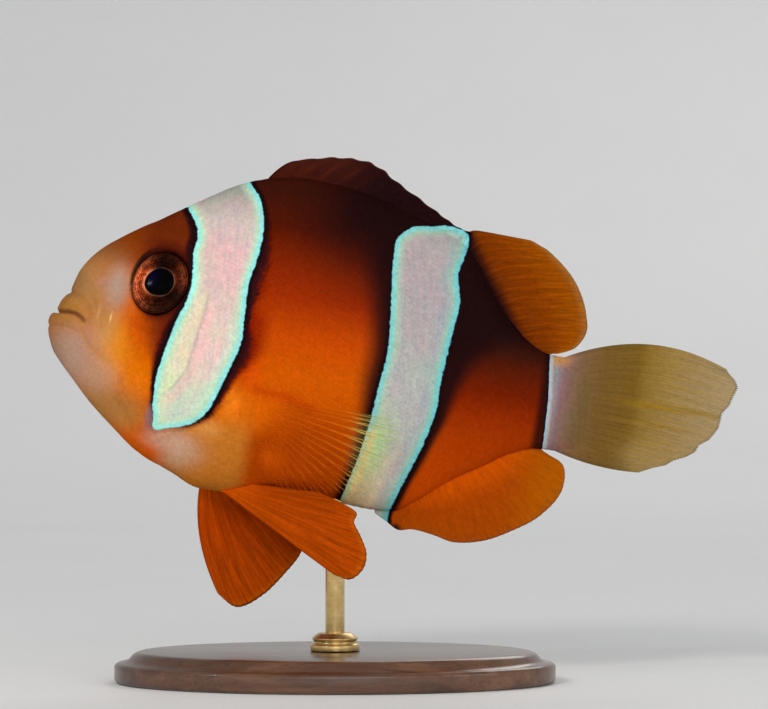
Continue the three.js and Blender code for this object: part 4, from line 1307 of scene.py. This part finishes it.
# The breast fins: about twenty fine rays on a fleshy base, the film between them so clear that the
# flank shows through, and the ray tips standing free at the edge like lashes.
for side_name, side in (("left", -1), ("right", 1)):
    root = [(32.4, 7.4 * side, -5.4), (33.3, 7.2 * side, -8.6), (32.6, 6.6 * side, -11.8)]
    tips = [
        (x, y * side, z)
        for x, y, z in (
            (51.8, 11.3, -5.8), (52.6, 12, -7.6), (51.6, 12.6, -11.4), (49.8, 12.8, -14.6),
            (46.9, 12.7, -17.3), (42.6, 12.4, -18.5), (37.6, 12, -18.3), (33, 11.5, -16.4),
        )
    ]
    mesh, places, across, along, ray = fin_mesh(
        "pectoral_" + side_name, root, tips, lambda u, v: (0, 4.8 * v * (1 - v) * side, 0), rays=18,
        forks=(0.6, 1), thick=(1.2, 0.05, 0.12), ridge=0.03, ragged=(0.14, 0.025, 0.1), cells=(240, 52),
        seed=13, paired=True
    )
    x = places[:, 0]
    membrane = blended([
        [35, (0.66, 0.1, 0.001)], [38, (0.42, 0.052, 0.001)], [46, (0.46, 0.06, 0.001)],
        [49, (0.55, 0.7, 0.27)],
    ], x)
    spines = blended([
        [36, (0.5, 0.07, 0.001)], [41, (0.6, 0.1, 0.002)], [45, (0.66, 0.15, 0.004)],
        [47, (0.62, 0.42, 0.05)], [53, (0.45, 0.42, 0.12)],
    ], x)
    lash = smooth(0.5, 0.9, ray)
    no_bars(mesh, washed(membrane, spines, lash))
    margin = smooth(0, 0.1, across) * smooth(1, 0.85, across)
    clear_film = np.interp(along, [0.15, 0.45, 0.6, 0.75, 1], [0, 0.3, 0.4, 0.2, 0.02])
    clear_film = clear_film * margin * smooth(48, 46, x) * (0.45 + 0.55 * smooth(0.15, 0.5, across))
    clear_ray = np.interp(along, [0.1, 0.25, 0.5, 0.7, 1], [0, 0.42, 0.42, 0.32, 0.32])
    clear_ray = clear_ray * (0.2 + 0.8 * margin)
    clear_ray = clear_ray + (0.85 - clear_ray) * smooth(46, 47.5, x)
    first = hill(across - 0.03, 0.022) * smooth(40, 47, x)
    clear_ray = clear_ray + (0.95 - clear_ray) * first
    film = clear_film + 0.04 * smooth(46, 48, x) + (clear_ray - clear_film) * lash
    finish_fin(mesh, film, orange_film, "orange_fin", "pectoral_fin_" + side_name)

# The belly fins: one spine and five broad, forked rays each; the left one trails, the right one hangs.
# Each is given by its root, its tips and how far its front bends forward.
LEFT_BELLY_FIN = (
    [(28.2, -1.6, -20), (30, -2.2, -19.6), (33, -3.2, -18.5)],
    [(46.9, -7.6, -29.3), (49.4, -8.2, -29.5), (51.1, -8.4, -27.6), (51.1, -8.1, -25.2), (49.8, -7.6, -23.2),
     (48.4, -7, -21.4), (48.6, -6.5, -20.1), (46, -6, -18.9), (42.6, -5.5, -18)],
    0,
)
RIGHT_BELLY_FIN = (
    [(25.4, 2.8, -19), (27.6, 2.7, -18.8), (29.8, 2.6, -18.6)],
    [(30.4, 7.2, -35.7), (33.6, 8, -37.3), (36.9, 8.2, -35.2), (39.2, 7.8, -31.7), (41.2, 7, -28.4),
     (42, 6, -25.4)],
    -1.6,
)
for side_name, side, (root, tips, forward) in (("left", -1, LEFT_BELLY_FIN), ("right", 1, RIGHT_BELLY_FIN)):
    mesh, places, across, along, ray = fin_mesh(
        "pelvic_" + side_name, root, tips,
        lambda u, v: (forward * (1 - u) * 4 * v * (1 - v), 3.2 * v * (1 - v) * side, 0), rays=6,
        forks=(0.2, 0.5), thick=(2, 0.18, 0.06), ridge=0.06, ragged=(0.003, 0.012, 0.12), cells=(132, 50),
        seed=17, paired=True
    )
    # The right fin's membrane is a little lighter and redder: painted light against the shade the left fin
    # casts on it.
    membrane = (0.35, 0.046, 0.001) if side < 0 else (0.38, 0.043, 0.001)
    ground = blended([[0, (0.5, 0.07, 0.001)], [0.3, membrane], [1, (0.33, 0.045, 0.001)]], along)
    ground = washed(ground, (0.5, 0.11, 0.004), 0.4 * smooth(0.94, 1, along))
    no_bars(mesh, ground)
    finish_fin(mesh, np.ones(len(places)), rayed_film, "orange_fin", "pelvic_fin_" + side_name)

# ---- stand ------------------------------------------------------------------------------------------
# An oval plate of dark, lacquered wood with a stepped edge, and a turned brass rod in a brass collar.
# The rod is pushed into the plate below and into the belly above.

BASE_LENGTH = 0.064
BASE_WIDTH = 0.043
BASE_HEIGHT = 0.0045
BASE_STEP = 0.0016
BASE_ROUND = 0.0006
ROD_RADIUS = 0.0014
ROD_TOP = 0.0335
ROD_SUNK = 0.003
HAIRLINE = 0.00005
COLLAR_RADIUS = 0.0036
COLLAR_HEIGHT = 0.0026


def rounded_edges(turned_form, radius):
    between_faces = [edge for edge in turned_form.edges if len(edge.link_faces) == 2]
    sharp = [edge for edge in between_faces if edge.calc_face_angle() > 0.6]
    bmesh.ops.bevel(
        turned_form, geom=sharp, offset=radius, offset_type="OFFSET", segments=4, profile=0.5, affect="EDGES",
        material=-1
    )
    bmesh.ops.recalc_face_normals(turned_form, faces=turned_form.faces)


def turned_piece(name, turned_form, material, slot, node):
    mesh = poured(name, turned_form)
    make_piece(name, mesh, material, slot, node)
    mesh.set_sharp_from_angle(angle=math.radians(35))


wood, tree, shader = lacquered("dark lacquered wood", 0.32, 0.5, 0.35)
shader.inputs["Coat Roughness"].default_value = 0.12
spread = shader_place(tree)
warp = shader_noise(tree, spread, 45, 2)
along_grain = shader_stretched(tree, spread, (18, 260, 260))
lines = shader_noise(tree, shader_mix(tree, 0.02, along_grain, warp), 1.0, 6, 0.65)
pores = shader_noise(tree, shader_stretched(tree, spread, (160, 2600, 2600)), 1.0, 3, 0.7)
grain = [(0.3, (0.03, 0.012, 0.006)), (0.5, (0.1, 0.041, 0.019)), (0.72, (0.19, 0.085, 0.038))]
dark_pores = shader_step(tree, pores, 0.3, 0.5, 0.55, 1.0)
fill(tree, shader, {
    "Base Color": shader_scaled(tree, shader_ramp(tree, lines, grain), dark_pores),
    "Normal": shader_bump(tree, pores, 0.15, 0.00008),
})

half = BASE_WIDTH / 2
ledge = BASE_HEIGHT - BASE_STEP
plate_form = lathed([
    [0, 0], [half, 0], [half, ledge], [half - 0.0011, ledge], [half - 0.0021, BASE_HEIGHT], [0, BASE_HEIGHT],
], 160)
rounded_edges(plate_form, BASE_ROUND)
bmesh.ops.scale(plate_form, vec=(BASE_LENGTH / BASE_WIDTH, 1, 1), verts=plate_form.verts)
turned_piece("base_plate", plate_form, wood, "stand_wood", "stand_base")

brass, tree, shader = lacquered("satin brass", 0.3, 0.5)
shader.inputs["Metallic"].default_value = 1
spread = shader_place(tree)
rings = shader_noise(tree, shader_stretched(tree, spread, (120, 120, 3500)), 1.0, 2)
patina = shader_step(tree, shader_noise(tree, spread, 420, 3), 0.35, 0.7)
fill(tree, shader, {
    "Base Color": shader_mix(tree, patina, (0.78, 0.56, 0.25, 1), (0.62, 0.42, 0.17, 1)),
    "Roughness": shader_step(tree, rings, 0.3, 0.7, 0.25, 0.34),
    "Normal": shader_bump(tree, rings, 0.05, 0.00003),
})

rod_foot = BASE_HEIGHT - ROD_SUNK
rod_form = lathed([[0, rod_foot], [ROD_RADIUS, rod_foot], [ROD_RADIUS, ROD_TOP], [0, ROD_TOP]], 64)
rounded_edges(rod_form, 0.0002)
turned_piece("rod", rod_form, brass, "stand_brass", "stand_rod")
foot = BASE_HEIGHT + HAIRLINE
collar_form = lathed([
    [0, foot], [COLLAR_RADIUS, foot], [COLLAR_RADIUS, foot + 0.0009], [COLLAR_RADIUS - 0.0005, foot + 0.0012],
    [COLLAR_RADIUS - 0.0005, foot + 0.0015], [COLLAR_RADIUS - 0.0002, foot + 0.0018],
    [COLLAR_RADIUS - 0.0012, foot + COLLAR_HEIGHT], [0, foot + COLLAR_HEIGHT],
], 96)
rounded_edges(collar_form, 0.00018)
turned_piece("collar", collar_form, brass, "stand_brass", "stand_collar")

# ---- stage ------------------------------------------------------------------------------------------
# A pale floor that sweeps up all round into a low bowl, under six lights: a soft key light from ahead and
# above the head, a small one that sparkles in the eye, a front, a low and a side fill, and one from behind
# that shines through the fins. The key light and the low fill don't show in gloss.

FLOOR_FLAT = 0.55
FLOOR_SWEEP = 1.0
MIDDLE_OF_FISH = Vector((0, 0, 0.05))

floor_profile = [[0, 0]]
for turn in np.linspace(0, math.pi / 2, 24):
    floor_profile.append([FLOOR_FLAT + FLOOR_SWEEP * math.sin(turn), FLOOR_SWEEP * (1 - math.cos(turn))])
floor_form = lathed(floor_profile, 96)
bmesh.ops.translate(floor_form, vec=(0, 0, -HAIRLINE), verts=floor_form.verts)
for face in floor_form.faces:
    if face.normal.z < 0 and face.calc_center_median().length < 0.5:
        bmesh.ops.reverse_faces(floor_form, faces=floor_form.faces)
        break
floor_mesh = poured("floor", floor_form)
floor_mesh.polygons.foreach_set("use_smooth", [True] * len(floor_mesh.polygons))
plaster, tree, shader = lacquered("pale floor", 0.85, 0.2)
cloud = shader_noise(tree, shader_place(tree), 9, 3)
fill(tree, shader, {"Base Color": shader_mix(tree, cloud, (0.84, 0.84, 0.83, 1), (0.9, 0.895, 0.88, 1))})
floor_mesh.materials.append(plaster)
floor = bpy.data.objects.new("floor", floor_mesh)
bpy.context.scene.collection.objects.link(floor)


def soft_light(name, place, size, power, colour, in_gloss=True):
    """A round area light that looks at the middle of the fish."""
    lamp = bpy.data.lights.new(name, "AREA")
    lamp.shape = "DISK"
    lamp.size = size
    lamp.energy = power
    lamp.color = colour
    light = bpy.data.objects.new(name, lamp)
    light.location = place
    light.visible_camera = False
    light.visible_glossy = in_gloss
    light.rotation_euler = (MIDDLE_OF_FISH - Vector(place)).to_track_quat("-Z", "Y").to_euler()
    bpy.context.scene.collection.objects.link(light)


soft_light("key light", (-0.42, -0.82, 0.56), 0.24, 3.2, (1, 0.985, 0.96), in_gloss=False)
soft_light("eye light", (-0.62, -0.476, 0.543), 0.03, 0.55, (0.9, 0.95, 1))
soft_light("front fill", (0.06, -0.74, 0.31), 0.5, 1.15, (1, 1, 1))
soft_light("low fill", (0.3, -0.62, 0.09), 0.14, 0.66, (1, 1, 1), in_gloss=False)
soft_light("side fill", (0.85, -0.55, 0.45), 0.6, 1.1, (0.96, 0.98, 1))
soft_light("fin light", (0.3, 0.95, 0.8), 0.6, 2.4, (1, 1, 1))

world = bpy.data.worlds.new("studio")
world.use_nodes = True
world.node_tree.nodes["Background"].inputs["Color"].default_value = (0.95, 0.97, 1, 1)
world.node_tree.nodes["Background"].inputs["Strength"].default_value = 0.35
bpy.context.scene.world = world
bpy.context.scene.view_settings.view_transform = "Standard"

lens = bpy.data.cameras.new("camera")
lens.lens = 180
lens.sensor_width = 36
lens.clip_start = 0.01
camera = bpy.data.objects.new("camera", lens)
camera.location = (0.007105, -0.557, 0.0475)
camera.rotation_euler = (math.pi / 2, 0, 0)
bpy.context.scene.collection.objects.link(camera)
bpy.context.scene.camera = camera
